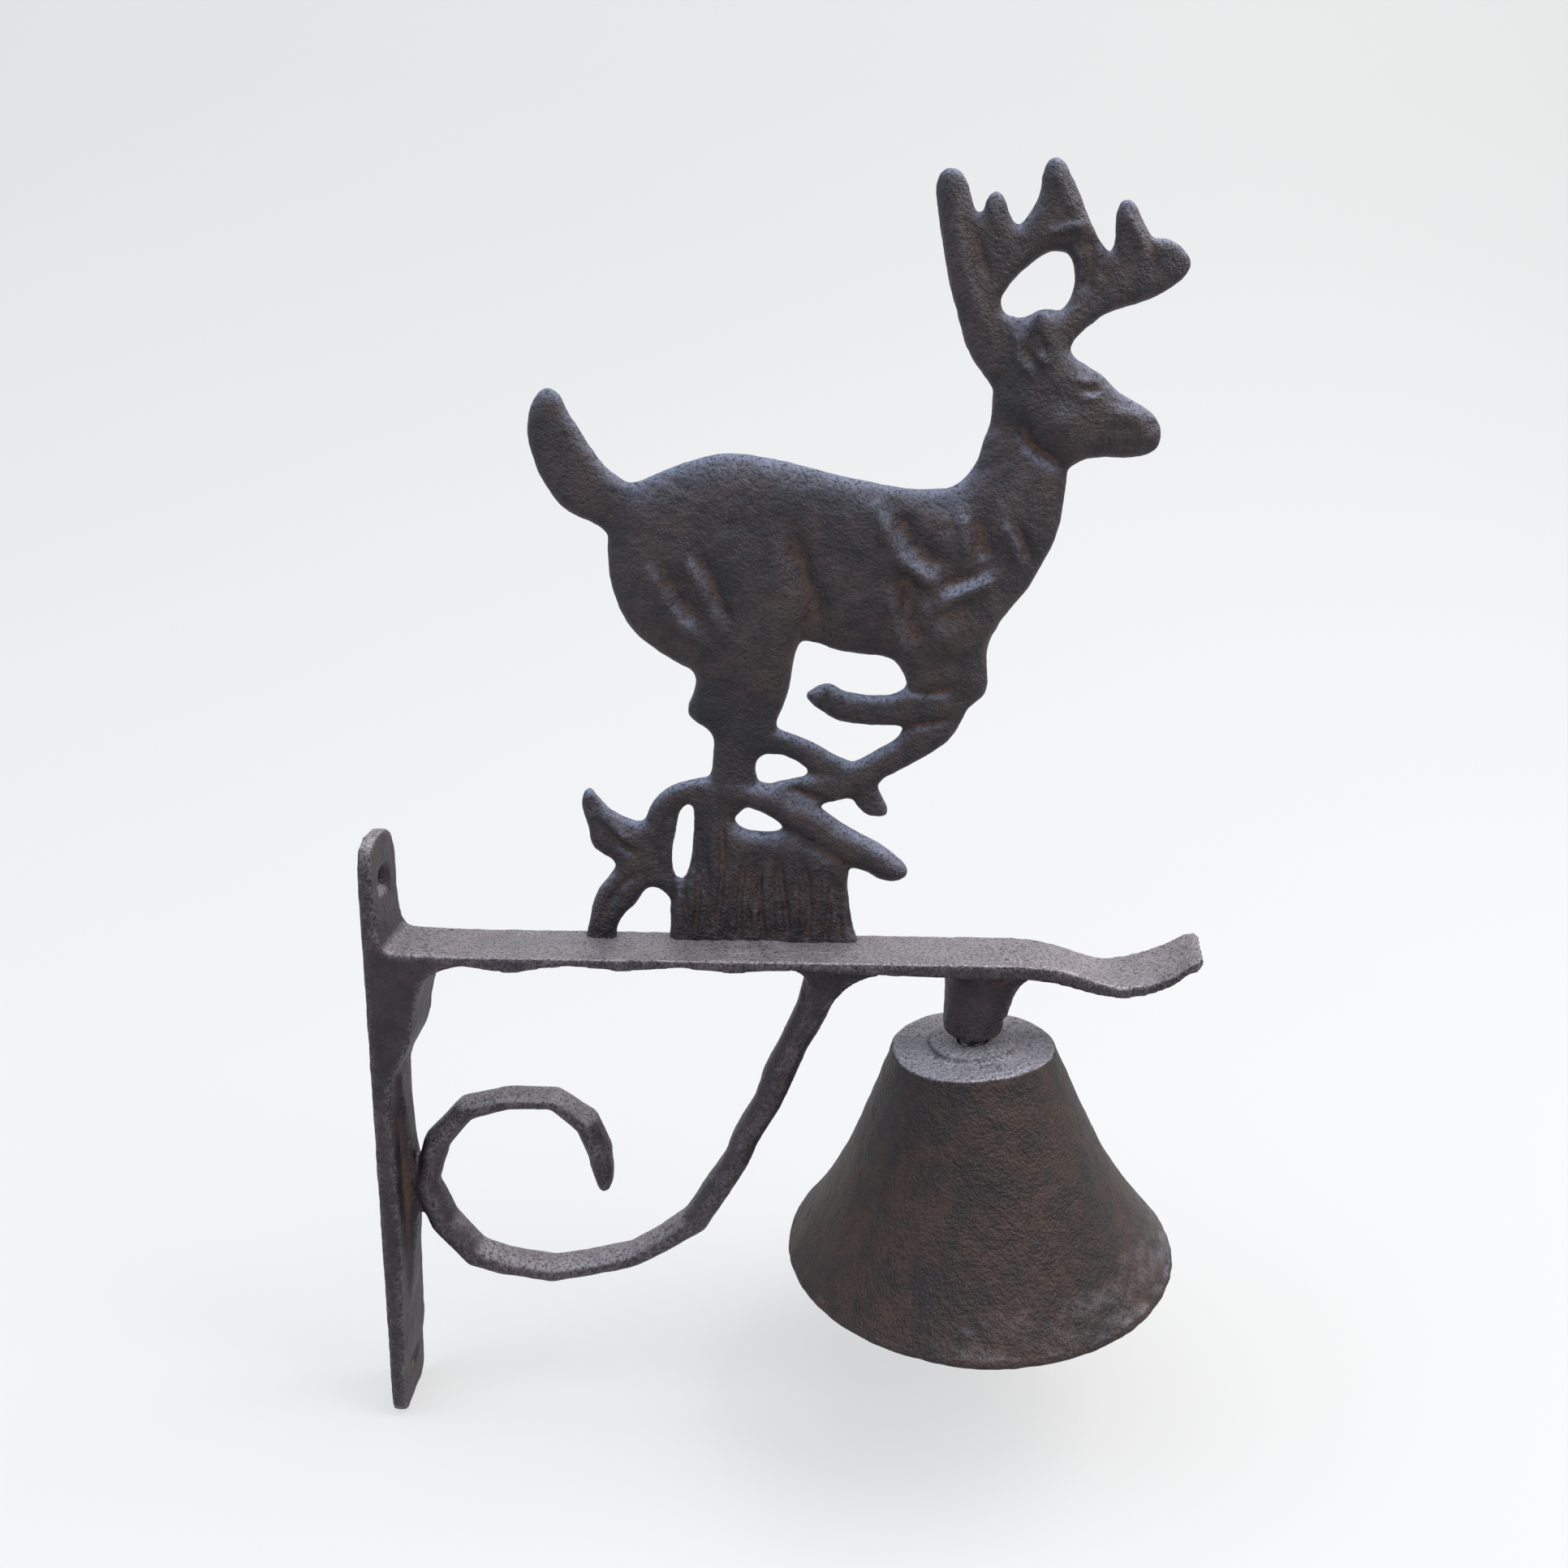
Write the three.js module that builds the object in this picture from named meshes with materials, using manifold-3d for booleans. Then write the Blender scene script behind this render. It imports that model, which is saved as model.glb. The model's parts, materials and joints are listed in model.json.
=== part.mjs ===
// A rustic cast-iron wall bell. A flat bracket with a leaping stag standing on its arm
// carries a hand bell on a threaded hanger bolt, with a clapper hooked under the bolt.
//
// Millimetres, +Z up. The wall is the plane x = 0 and the bracket reaches along +X.
// The origin is the centre of the wall plate's back face; y = 0 is the mid-plane.
import * as THREE from 'three';
import { mergeVertices } from 'three/addons/utils/BufferGeometryUtils.js';
import Module from 'manifold-3d';

const wasm = await Module();
wasm.setup();

// ---- Bracket ----
const plateLength = 144;        // wall plate, top to bottom
const plateWidth = 18;
const plateThickness = 3;
const plateEndRadius = 8;       // corners of the rounded plate ends
const armDrop = 25.5;           // from the plate's top down to the arm's top face
const armReach = 187.5;         // from the wall to the tip of the curled end
const armWidth = 18;
const armThickness = 3;
const curlLength = 42;          // the curled free end
const curlDip = 5;              // how far the curl dips before it rises
const tipRise = 2.5;            // tip above the arm's top face
const ribThickness = 7;
const ribDepth = 3;             // rib height under the arm and on the plate
const braceFoot = 101;          // where the brace leaves the arm, from the wall
const footFlare = 14;           // how far the brace's foot spreads along the arm
const footBack = 1;             // how far it starts behind the brace's centre
const gussetSize = 8.4;         // the full-width gusset under the arm, along the arm
const gussetLow = -34;          // its lower end, from the arm's top
const plateRibEnd = -84;        // lower end of the rib that carries the scroll
const braceWidth = 8.5;         // brace section, across the bracket
const braceThickness = 5;       // brace section, in the plane of the bracket
const screwFromEnd = 11.5;      // wall screw holes, from each end of the plate
const screwHole = 4.5;
const screwHead = 8.5;

// ---- Stag, stump and branch (one scale for the whole figure) ----
const figureScale = 1.023;
const figureBack = 9;           // the figure's flat back, level with the arm's back edge
const figureSink = 2.4;         // the drawn feet run this far below the arm's top
const figureX = 87;             // the stump's centre line, from the wall
const torsoThickness = 8;
const neckThickness = 7;
const antlerThickness = 4.5;
const legThickness = 5;
const stumpThickness = 5.5;
const branchThickness = 3.5;

// ---- Bell, bolt and clapper ----
const boltX = 135.4;            // the bolt, from the wall
const boltLean = 4.1;           // degrees: the bolt hangs slightly out of plumb
const boltDiameter = 6;
const bossDiameter = 14;
const bossDrop = 19;            // from the arm's top face to the boss's lower face
const bossFlare = 1.8;          // fillet where the boss meets the arm
const crownDrop = 22.6;         // from the arm's top face to the bell's crown
const bellHeight = 51;
const rimRadius = 45;
const crownRadius = 18.4;
const bellWall = 3.4;
const hubRadius = 9.8;          // raised pad on the crown
const hubHeight = 1;
const holeClearance = 0.5;      // bolt in the crown, all round
const seatRadius = 9;           // washer under the crown
const washerThickness = 1.4;
const nutFlats = 10;
const nutHeight = 5;
const eyeRadius = 3.2;          // rings of the bolt and the clapper, to the wire's centre
const eyeWire = 2.4;            // their wire diameter
const linkWire = 1.9;
const linkWidth = 6.6;          // chain link, between wire centres
const linkLength = 9.4;
const clapperReach = 26.5;       // from the upper pin to the ball's centre
const rodDiameter = 3.4;
const ballRadius = 9;

const gap = 0.3;                // between touching solids
const armZ = plateLength / 2 - armDrop;       // the arm's top face
const lean = boltLean * Math.PI / 180;

// ---- Finishes ----
function finish(colour, roughness, metalness) {
  return new THREE.MeshStandardMaterial({ color: colour, roughness, metalness });
}
const castIron = finish(0x3d3533, 0.62, 0.55);
const bellIron = finish(0x43382f, 0.6, 0.5);
const steel = finish(0x5a5550, 0.45, 0.9);

// ---- Helpers ----
const root = new THREE.Group();

function addMesh(parent, name, geometry, material) {
  const mesh = new THREE.Mesh(geometry, material);
  mesh.name = name;
  parent.add(mesh);
  return mesh;
}

// A closed geometry as a manifold solid, and back again.
function toSolid(geometry) {
  const bare = geometry.clone();
  bare.deleteAttribute('normal');
  bare.deleteAttribute('uv');
  const merged = mergeVertices(bare, 1e-4);
  return new wasm.Manifold(new wasm.Mesh({
    numProp: 3,
    vertProperties: new Float32Array(merged.attributes.position.array),
    triVerts: new Uint32Array(merged.index.array),
  }));
}

function toGeometry(solid) {
  const mesh = solid.getMesh();
  const geometry = new THREE.BufferGeometry();
  geometry.setAttribute('position', new THREE.BufferAttribute(mesh.vertProperties, 3));
  geometry.setIndex(new THREE.BufferAttribute(mesh.triVerts, 1));
  geometry.computeVertexNormals();
  return geometry;
}

function cut(geometry, ...tools) {
  let solid = toSolid(geometry);
  for (const tool of tools) solid = solid.subtract(toSolid(tool));
  return toGeometry(solid);
}

// A closed outline from runs of [x, z] points: two points make a straight line,
// more make a smooth curve through them, and each run starts where the last ended.
function outline(...runs) {
  const shape = new THREE.Shape();
  shape.moveTo(...runs[0][0]);
  for (const [start, ...rest] of runs) {
    if (shape.currentPoint.distanceTo(new THREE.Vector2(...start)) > gap / 10) shape.lineTo(...start);
    if (rest.length === 1) shape.lineTo(...rest[0]);
    if (rest.length > 1) shape.splineThru(rest.map(([x, z]) => new THREE.Vector2(x, z)));
  }
  shape.closePath();
  return shape;
}

// An outline in the X-Z plane, given a thickness centred on y = 0 and a chamfer.
function slab(shape, thickness, chamfer = 0) {
  const geometry = new THREE.ExtrudeGeometry(shape, {
    depth: thickness - 2 * chamfer,
    bevelEnabled: chamfer > 0,
    bevelThickness: chamfer,
    bevelSize: chamfer,
    bevelOffset: -chamfer,
    bevelSegments: 1,
    curveSegments: 3,
  });
  geometry.translate(0, 0, chamfer - thickness / 2);
  geometry.rotateX(Math.PI / 2);
  return geometry;
}

// A profile of [radius, z] points turned about the Z axis.
function turned(profile, segments = 32) {
  const points = profile.map(([r, z]) => new THREE.Vector2(r, z));
  const geometry = new THREE.LatheGeometry(points, segments);
  geometry.rotateX(Math.PI / 2);
  return geometry;
}

function rod(radius, bottom, top, segments = 20) {
  return turned([[0, bottom], [radius, bottom], [radius, top], [0, top]], segments);
}

// ---- Bracket ----
function wallPlate() {
  const half = plateWidth / 2;
  const end = plateLength / 2;
  const shape = new THREE.Shape();
  const corner = Math.min(plateEndRadius, half - 0.5);
  shape.moveTo(-half, -end + corner);
  shape.absarc(-half + corner, -end + corner, corner, Math.PI, 1.5 * Math.PI);
  shape.absarc(half - corner, -end + corner, corner, 1.5 * Math.PI, 2 * Math.PI);
  shape.absarc(half - corner, end - corner, corner, 0, 0.5 * Math.PI);
  shape.absarc(-half + corner, end - corner, corner, 0.5 * Math.PI, Math.PI);
  shape.closePath();
  const geometry = new THREE.ExtrudeGeometry(shape, {
    depth: plateThickness, bevelEnabled: false, curveSegments: 6,
  });
  geometry.rotateY(Math.PI / 2);
  geometry.rotateX(Math.PI / 2);
  return cut(geometry, screwTool(end - screwFromEnd), screwTool(-end + screwFromEnd));
}

// A countersunk screw hole along X, its wide end at the plate's front face.
function screwTool(z) {
  const tool = turned([
    [0, -1],
    [screwHole / 2, -1],
    [screwHole / 2, plateThickness - (screwHead - screwHole) / 2],
    [screwHead / 2, plateThickness],
    [screwHead / 2, plateThickness + 1],
    [0, plateThickness + 1],
  ], 24);
  tool.rotateY(Math.PI / 2);
  tool.translate(0, 0, z);
  return tool;
}

// The arm is a flat bar seen edge-on: level, then a dip and a rise to the rounded tip.
function armBar() {
  const start = plateThickness + gap;
  const curl = armReach - curlLength;
  const t = armThickness;
  const dip = [curl + 0.5 * curlLength, -curlDip];
  const shape = outline(
    [[start, 0], [curl, 0]],
    [[curl, 0], [curl + 10, -1.2], [curl + 16, -3.6], dip, [curl + 28, -3.6], [armReach - 3, tipRise]],
    [[armReach - 3, tipRise], [armReach, tipRise - 1], [armReach - 1, tipRise - 2.4]],
    [[armReach - 1, tipRise - 2.4], [curl + 30, -t - 3], [dip[0] + 1, -t - curlDip],
      [curl + 14, -t - 3.2], [curl, -t]],
    [[curl, -t], [start, -t]],
  );
  const bar = slab(shape, armWidth);
  bar.translate(0, 0, armZ);
  return bar;
}

// The rib's lower edge under the arm wanders a little, as if carved by hand.
function armRib() {
  const top = -armThickness - gap;
  const low = -armThickness - ribDepth;
  const left = plateThickness + gussetSize + gap;
  const ribEnd = braceFoot - footBack - 2 * gap;
  const wave = [[ribEnd, low]];
  const waves = 7;
  for (let i = 1; i < waves; i += 1) {
    wave.push([THREE.MathUtils.lerp(ribEnd, left, i / waves), low - (i % 2 ? 0.6 : -0.5)]);
  }
  wave.push([left, low]);
  const shape = outline([[left, top], [ribEnd, top]], wave, [[left, low], [left, top]]);
  const rib = slab(shape, ribThickness, 0.8);
  rib.translate(0, 0, armZ);
  return cut(rib, braceSolid(2 * gap));
}

// The plate thickens into a wavy full-width gusset under the arm.
function armGusset() {
  const left = plateThickness + gap;
  const top = -armThickness - gap;
  const corner = plateThickness + gussetSize;
  const shape = outline(
    [[left, top], [corner, top]],
    [[corner, top], [corner - 1.1, -9], [corner - 1.9, -15], [corner - 3.3, -19.2],
      [corner - 5.4, -22.5], [left + 1.3, -25.8], [left + 0.9, -32]],
    [[left + 0.9, -32], [left, gussetLow]],
  );
  const gusset = slab(shape, armWidth);
  gusset.translate(0, 0, armZ);
  return gusset;
}

// A narrow rib runs down the plate from the gusset and carries the scroll as it rolls past.
function plateRib() {
  const left = plateThickness + gap;
  const face = plateThickness + ribDepth;
  const top = gussetLow - gap;
  const shape = outline(
    [[left, top], [face, top]],
    [[face, top], [face + 0.6, -44], [face, -50], [face + 0.5, -62], [face + 1.2, -74],
      [left + 2, plateRibEnd]],
    [[left + 2, plateRibEnd], [left, plateRibEnd]],
  );
  const rib = slab(shape, ribThickness, 0.8);
  rib.translate(0, 0, armZ);
  return cut(rib, braceSolid(2 * gap));
}

// The brace leaves the arm like a root, sweeps down to the plate and curls into a scroll.
function bracePath() {
  const foot = braceFoot;
  const points = [
    [foot, -armThickness - gap], [foot - 3, -14], [foot - 7, -24], [foot - 12.5, -38],
    [foot - 19.5, -53], [foot - 29, -69], [foot - 43.5, -78.5], [foot - 62, -82.5],
    [20, -80], [12.5, -71], [8.2, -60], [11.5, -49], [19, -41], [30, -38], [39.5, -38.5],
    [46.5, -44], [49.5, -51], [50.4, -61],
  ];
  const path = points.map(([x, z]) => new THREE.Vector3(x, 0, armZ + z));
  return new THREE.CatmullRomCurve3(path);
}

// The brace's eight-sided section; grow thickens it, to cut clearance in its neighbours.
function braceSolid(grow = 0) {
  const a = (braceWidth + grow) / 2;
  const b = (braceThickness + grow) / 2;
  const section = new THREE.Shape();
  const flat = 0.45;
  section.moveTo(b, flat * a);
  for (const [x, y] of [[flat * b, a], [-flat * b, a], [-b, flat * a], [-b, -flat * a],
    [-flat * b, -a], [flat * b, -a], [b, -flat * a]]) {
    section.lineTo(x, y);
  }
  section.closePath();
  return new THREE.ExtrudeGeometry(section, {
    extrudePath: bracePath(), steps: 56, bevelEnabled: false,
  });
}

function scrollBrace() {
  const top = -armThickness - gap;
  const flare = outline(
    [[braceFoot - footBack, top], [braceFoot + footFlare, top]],
    [[braceFoot + footFlare, top], [braceFoot + 6, top - 3.5], [braceFoot + 1.5, top - 11]],
    [[braceFoot + 1.5, top - 11], [braceFoot - footBack, top - 8]],
  );
  const foot = slab(flare, ribThickness);
  foot.translate(0, 0, armZ);
  const above = new THREE.BoxGeometry(4 * braceThickness, armWidth, braceThickness);
  above.translate(braceFoot, 0, armZ + top + braceThickness / 2);
  const brace = toSolid(braceSolid()).add(toSolid(foot));
  return toGeometry(brace.subtract(toSolid(above)));
}

function hangerBoss() {
  const r = bossDiameter / 2;
  const top = -armThickness - gap;
  const boss = turned([
    [0, -bossDrop], [r - 0.8, -bossDrop], [r, -bossDrop + 0.8], [r, top - 4],
    [r + 0.4, top - 2], [r + bossFlare, top], [0, top],
  ], 28);
  boss.translate(boltX, 0, armZ);
  const bore = rod(boltDiameter / 2 + gap, 0, crownDrop - armThickness - gap - 1.5, 20);
  placeOnBolt(bore);
  return cut(boss, bore);
}

// ---- Stag, stump and branch: x from the wall, z above the arm, at figureScale 1 ----
const stag = {
  stag_tail: [antlerThickness + 1, () => outline(
    [[56.7, 100.7], [54, 103.5], [50, 108.5], [46, 114.5], [43.6, 118.4], [41.3, 119.2]],
    [[41.3, 119.2], [38.6, 116.3], [37.4, 110.5], [39, 103.5], [43, 97], [48.5, 93.3], [53, 90.9]],
    [[53, 90.9], [56.7, 100.7]],
  )],
  stag_torso: [torsoThickness, () => outline(
    [[53.9, 89.6], [57.5, 100.5]],
    [[57.5, 100.5], [64, 103], [72, 106], [80.5, 107.2], [91, 105.6], [102, 103],
      [113.5, 101.1], [120, 100.9], [125.2, 101.9]],
    [[125.2, 101.9], [146.8, 97.2]],
    [[146.8, 97.2], [145.8, 90.8], [143.7, 86.2], [138.3, 77.5], [133.5, 69.8]],
    [[133.5, 69.8], [114.9, 65.4]],
    [[114.9, 65.4], [106.5, 66.6], [98.5, 68.2], [93.6, 69.2]],
    [[93.6, 69.2], [66.5, 65.1]],
    [[66.5, 65.1], [58, 71.4], [54.4, 78.6], [53.9, 89.6]],
  )],
  stag_neck: [neckThickness, () => outline(
    [[125.7, 102.3], [129.6, 109], [131, 116]],
    [[131, 116], [147.4, 106.2]],
    [[147.4, 106.2], [147.2, 102], [147, 97.6]],
    [[147, 97.6], [125.7, 102.3]],
  )],
  stag_head: [neckThickness, () => outline(
    [[131.1, 116.6], [131.6, 121]],
    [[131.6, 121], [135.4, 133.4]],
    [[135.4, 133.4], [137.9, 134.8], [139.2, 135.8], [142.7, 135.3]],
    [[142.7, 135.3], [145.6, 128.3]],
    [[145.6, 128.3], [149.2, 125.8], [155.8, 121.2], [162.5, 117.5], [165.9, 113], [163.3, 108.4],
      [155, 107.8], [150.4, 107.3], [147.9, 106.3]],
    [[147.9, 106.3], [131.1, 116.6]],
  )],
  rear_antler: [antlerThickness, () => outline(
    [[131.2, 121.6], [134.9, 133.6]],
    [[134.9, 133.6], [131.7, 137], [136.7, 143.7], [144.7, 146.5]],
    [[144.7, 146.5], [150.9, 147.8]],
    [[150.9, 147.8], [148.3, 152.5], [145, 158.7], [142.2, 163.1], [139.3, 163], [138.2, 157],
      [134, 150.9]],
    [[134, 150.9], [132, 154.8], [129.4, 157.4], [127.4, 154.6], [126.7, 151.7]],
    [[126.7, 151.7], [124.3, 157.9], [120.7, 161.4], [117.9, 157.9], [120, 146.7], [123.2, 135],
      [126.8, 126.2], [131.2, 121.6]],
  )],
  front_antler: [antlerThickness, () => outline(
    [[146.1, 128.6], [149.2, 132.5], [155.8, 136.4], [165.8, 140.7], [169, 145], [164.6, 149.2],
      [161, 149.5]],
    [[161, 149.5], [158, 154], [155.2, 156.7], [153.4, 153.6], [152.9, 145.9]],
    [[152.9, 145.9], [151.3, 147.4]],
    [[151.3, 147.4], [145.2, 146.1]],
    [[145.2, 146.1], [146, 141.5], [143.3, 135.5]],
    [[143.3, 135.5], [146.1, 128.6]],
  )],
  planted_hind_leg: [legThickness + 3, () => outline(
    [[67, 64.7], [92.8, 68.6]],
    [[92.8, 68.6], [91.8, 61], [89, 51]],
    [[89, 51], [86.8, 45.3]],
    [[86.8, 45.3], [84.6, 42], [85.2, 39.1]],
    [[85.2, 39.1], [75, 39.6]],
    [[75, 39.6], [75.6, 46.4], [71.4, 51.4], [70.2, 55], [71.6, 60.6], [67, 64.7]],
  )],
  trailing_hind_leg: [legThickness - 1, () => outline(
    [[87.3, 45.1], [89.4, 50]],
    [[89.4, 50], [97, 47.3], [104.4, 43.4]],
    [[104.4, 43.4], [97.3, 40.9]],
    [[97.3, 40.9], [93, 43.2], [87.3, 45.1]],
  )],
  front_upper_leg: [legThickness + 3, () => outline(
    [[115.1, 65], [133.4, 69.3]],
    [[133.4, 69.3], [133.7, 61.5], [128, 50.9]],
    [[128, 50.9], [117.1, 51.6]],
    [[117.1, 51.6], [117.1, 60.4]],
    [[117.1, 60.4], [115.1, 65]],
  )],
  folded_front_leg: [legThickness - 1, () => outline(
    [[116.6, 60.2], [113.6, 58.2], [107, 58], [101, 60.1], [98, 60.3], [94.9, 57.5]],
    [[94.9, 57.5], [99.3, 53.9], [106.4, 51.7], [116.6, 51.5]],
    [[116.6, 51.5], [116.6, 60.2]],
  )],
  reaching_front_leg: [legThickness - 1, () => outline(
    [[117, 51.1], [127.6, 50.3]],
    [[127.6, 50.3], [120, 43.9], [111.3, 38.1]],
    [[111.3, 38.1], [113.8, 32.3], [110.8, 30.8], [106, 34.5]],
    [[106, 34.5], [102.5, 34.8], [98.9, 33.5]],
    [[98.9, 33.5], [88.6, 38.3]],
    [[88.6, 38.3], [96.6, 40.1], [104.9, 43]],
    [[104.9, 43], [112, 46.9], [117, 51.1]],
  )],
  fallen_limb: [legThickness, () => outline(
    [[80.7, 33.5], [80.7, 38.2]],
    [[80.7, 38.2], [87.8, 38]],
    [[87.8, 38], [98.4, 33.1], [108, 27], [118.6, 19.2], [117, 16.6], [111.5, 17.1],
      [106.4, 19.9]],
    [[106.4, 19.9], [91.2, 28.8]],
    [[91.2, 28.8], [86, 31.9], [80.7, 33.5]],
  )],
  tree_stump: [stumpThickness, () => outline(
    [[66, gap], [108.2, gap]],
    [[108.2, gap], [106.2, 10], [105.7, 19.4]],
    [[105.7, 19.4], [90.7, 28.2]],
    [[90.7, 28.2], [86.4, 27.2], [81, 28.4], [80.2, 33]],
    [[80.2, 33], [80.2, 38.6]],
    [[80.2, 38.6], [72.3, 38.6]],
    [[72.3, 38.6], [71.5, 28], [70.3, 17], [66.4, 11], [66, gap]],
  )],
  leaf_branch: [branchThickness, () => outline(
    [[53.8, gap], [47.6, gap]],
    [[47.6, gap], [48.9, 10], [54.2, 18.6], [48.9, 23.9], [47.1, 31.4], [48.8, 36.8]],
    [[48.8, 36.8], [53.6, 31.4], [60, 28.9]],
    [[60, 28.9], [63, 34.6], [71.9, 38.5]],
    [[71.9, 38.5], [71.8, 33.3]],
    [[71.8, 33.3], [68.6, 31.6], [66.6, 21], [68.3, 15.6]],
    [[68.3, 15.6], [65.9, 12.2]],
    [[65.9, 12.2], [62, 13.9], [57, 8.4], [53.8, gap]],
  )],
};

// The figure is cast in relief: every part lies against one flat back plane, and the stump
// and the branch are trimmed level with the arm's top.
function stagFigure() {
  const figure = new THREE.Group();
  figure.scale.setScalar(figureScale);
  figure.position.set(figureX * (1 - figureScale), 0, armZ - figureSink);
  const ground = (figureSink + gap) / figureScale;
  const feet = new THREE.BoxGeometry(2 * figureX, 2 * armWidth, ground);
  feet.translate(figureX, 0, ground / 2);
  for (const [name, [thickness, shape]] of Object.entries(stag)) {
    const standing = name === 'tree_stump' || name === 'leaf_branch';
    const relief = slab(shape(), thickness);
    relief.translate(0, figureBack / figureScale - thickness / 2, 0);
    addMesh(figure, name, standing ? cut(relief, feet) : relief, castIron);
  }
  return figure;
}

// ---- Bell and bolt: built plumb about z = 0 at the crown, then leant ----
function placeOnBolt(geometry) {
  geometry.rotateY(-lean);
  geometry.translate(boltX, 0, armZ - crownDrop);
}

function bellCup() {
  const bore = boltDiameter / 2 + holeClearance;
  const rise = rimRadius - crownRadius;
  const h = bellHeight;
  const outer = [
    [bore, hubHeight], [hubRadius - 0.6, hubHeight], [hubRadius, 0],
    [crownRadius, 0], [crownRadius + 0.04 * rise, -0.03 * h],
    [crownRadius + 0.19 * rise, -0.25 * h], [crownRadius + 0.4 * rise, -0.5 * h],
    [crownRadius + 0.62 * rise, -0.72 * h], [crownRadius + 0.87 * rise, -0.9 * h],
    [rimRadius, -0.97 * h], [rimRadius - 0.7, -h],
  ];
  const inner = outer.slice(3, -2).reverse().map(([r, z]) => [r - bellWall, z]);
  inner[inner.length - 1] = [crownRadius - 2 * bellWall, -bellWall];
  inner[inner.length - 2] = [crownRadius - bellWall, -bellWall - 2];
  const profile = [...outer, [rimRadius - bellWall - 1, -h], ...inner, [bore, -bellWall],
    [bore, hubHeight]];
  const cup = turned(profile.reverse(), 44);
  placeOnBolt(cup);
  return cup;
}

const seatTop = -bellWall - gap;
const nutTop = seatTop - washerThickness - gap;
const nutBottom = nutTop - nutHeight;
const eyeZ = nutBottom - gap - eyeRadius - eyeWire / 2;
const eyeHole = eyeRadius - eyeWire / 2;

// A ring of wire in the X-Z plane, its hole along Y.
function eyeRing(centreZ) {
  const ring = new THREE.TorusGeometry(eyeRadius, eyeWire / 2, 8, 24);
  ring.rotateX(Math.PI / 2);
  ring.translate(0, 0, centreZ);
  return ring;
}

// The hanger bolt: a stud that runs from the boss through the crown to a forged eye.
function hangerBolt() {
  const shank = toSolid(rod(boltDiameter / 2, eyeZ + eyeHole + 0.4, crownDrop - armThickness - 3));
  const bolt = toGeometry(shank.add(toSolid(eyeRing(eyeZ))));
  placeOnBolt(bolt);
  return bolt;
}

function washer(top) {
  const inner = boltDiameter / 2 + gap;
  const ring = turned([
    [inner, top], [inner, top - washerThickness], [seatRadius, top - washerThickness],
    [seatRadius, top], [inner, top],
  ], 28);
  placeOnBolt(ring);
  return ring;
}

function hexNut() {
  const inner = boltDiameter / 2 + gap;
  const blank = new THREE.CylinderGeometry(nutFlats / Math.sqrt(3), nutFlats / Math.sqrt(3), nutHeight, 6);
  blank.rotateX(Math.PI / 2);
  blank.translate(0, 0, (nutTop + nutBottom) / 2);
  const nut = cut(blank, rod(inner, nutBottom - 1, nutTop + 1));
  placeOnBolt(nut);
  return nut;
}

// ---- Clapper: hangs plumb from the eye ----
const pinX = boltX - Math.sin(lean) * eyeZ;
const eyeCentreZ = armZ - crownDrop + Math.cos(lean) * eyeZ;
const upperPinZ = eyeCentreZ - eyeHole + linkWire / 2 + gap;
const lowerPinZ = upperPinZ - (linkLength - linkWidth / 2);
const clapperEyeZ = upperPinZ - linkLength + linkWire / 2 + gap - eyeHole;
const ballZ = upperPinZ - clapperReach;

// A chain link in the Y-Z plane: a ring whose upper and lower halves are pulled apart.
function chainLink() {
  const link = new THREE.TorusGeometry(linkWidth / 2, linkWire / 2, 8, 20);
  link.rotateY(Math.PI / 2);
  const half = (linkLength - linkWidth) / 2;
  const places = link.attributes.position;
  for (let i = 0; i < places.count; i += 1) {
    const z = places.getZ(i);
    if (Math.abs(z) > gap / 10) places.setZ(i, z + half * Math.sign(z));
  }
  link.translate(pinX, 0, upperPinZ - linkLength / 2);
  return link;
}

function clapperRod() {
  const top = clapperEyeZ - eyeHole - 0.4;
  const shank = toSolid(rod(rodDiameter / 2, ballZ, top, 16));
  const solid = shank.add(toSolid(eyeRing(clapperEyeZ)));
  const ball = new THREE.SphereGeometry(ballRadius + gap, 20, 14);
  ball.translate(0, 0, ballZ);
  const piece = toGeometry(solid.subtract(toSolid(ball)));
  piece.translate(pinX, 0, 0);
  return piece;
}

function clapperBall() {
  const ball = new THREE.SphereGeometry(ballRadius, 24, 16);
  ball.rotateX(Math.PI / 2);
  ball.translate(pinX, 0, ballZ);
  return ball;
}

// ---- Assembly ----
addMesh(root, 'wall_plate', wallPlate(), castIron);
addMesh(root, 'bracket_arm', armBar(), castIron);
addMesh(root, 'arm_rib', armRib(), castIron);
addMesh(root, 'arm_gusset', armGusset(), castIron);
  addMesh(root, 'plate_rib', plateRib(), castIron);
addMesh(root, 'scroll_brace', scrollBrace(), castIron);
addMesh(root, 'hanger_boss', hangerBoss(), castIron);
root.add(stagFigure());
addMesh(root, 'hanger_bolt', hangerBolt(), steel);
addMesh(root, 'bell_cup', bellCup(), bellIron);
addMesh(root, 'seat_washer', washer(seatTop), steel);
addMesh(root, 'hanger_nut', hexNut(), steel);
addMesh(root, 'clapper_link', chainLink(), steel);
addMesh(root, 'clapper_rod', clapperRod(), steel);
addMesh(root, 'clapper_ball', clapperBall(), steel);

export default root;
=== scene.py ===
# %% [markdown]
# # A cast-iron wall bell with a leaping stag
# The real object is two sand castings and a little hardware. One casting is the bracket: a wall
# plate, a flat arm, a scroll brace and, on top, a stag jumping a stump. The other is the bell.
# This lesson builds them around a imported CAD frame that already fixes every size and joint.

# %% Load the frame
import json
import math

import bmesh
import bpy
import numpy as np
from mathutils import Matrix, Vector, noise


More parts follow.
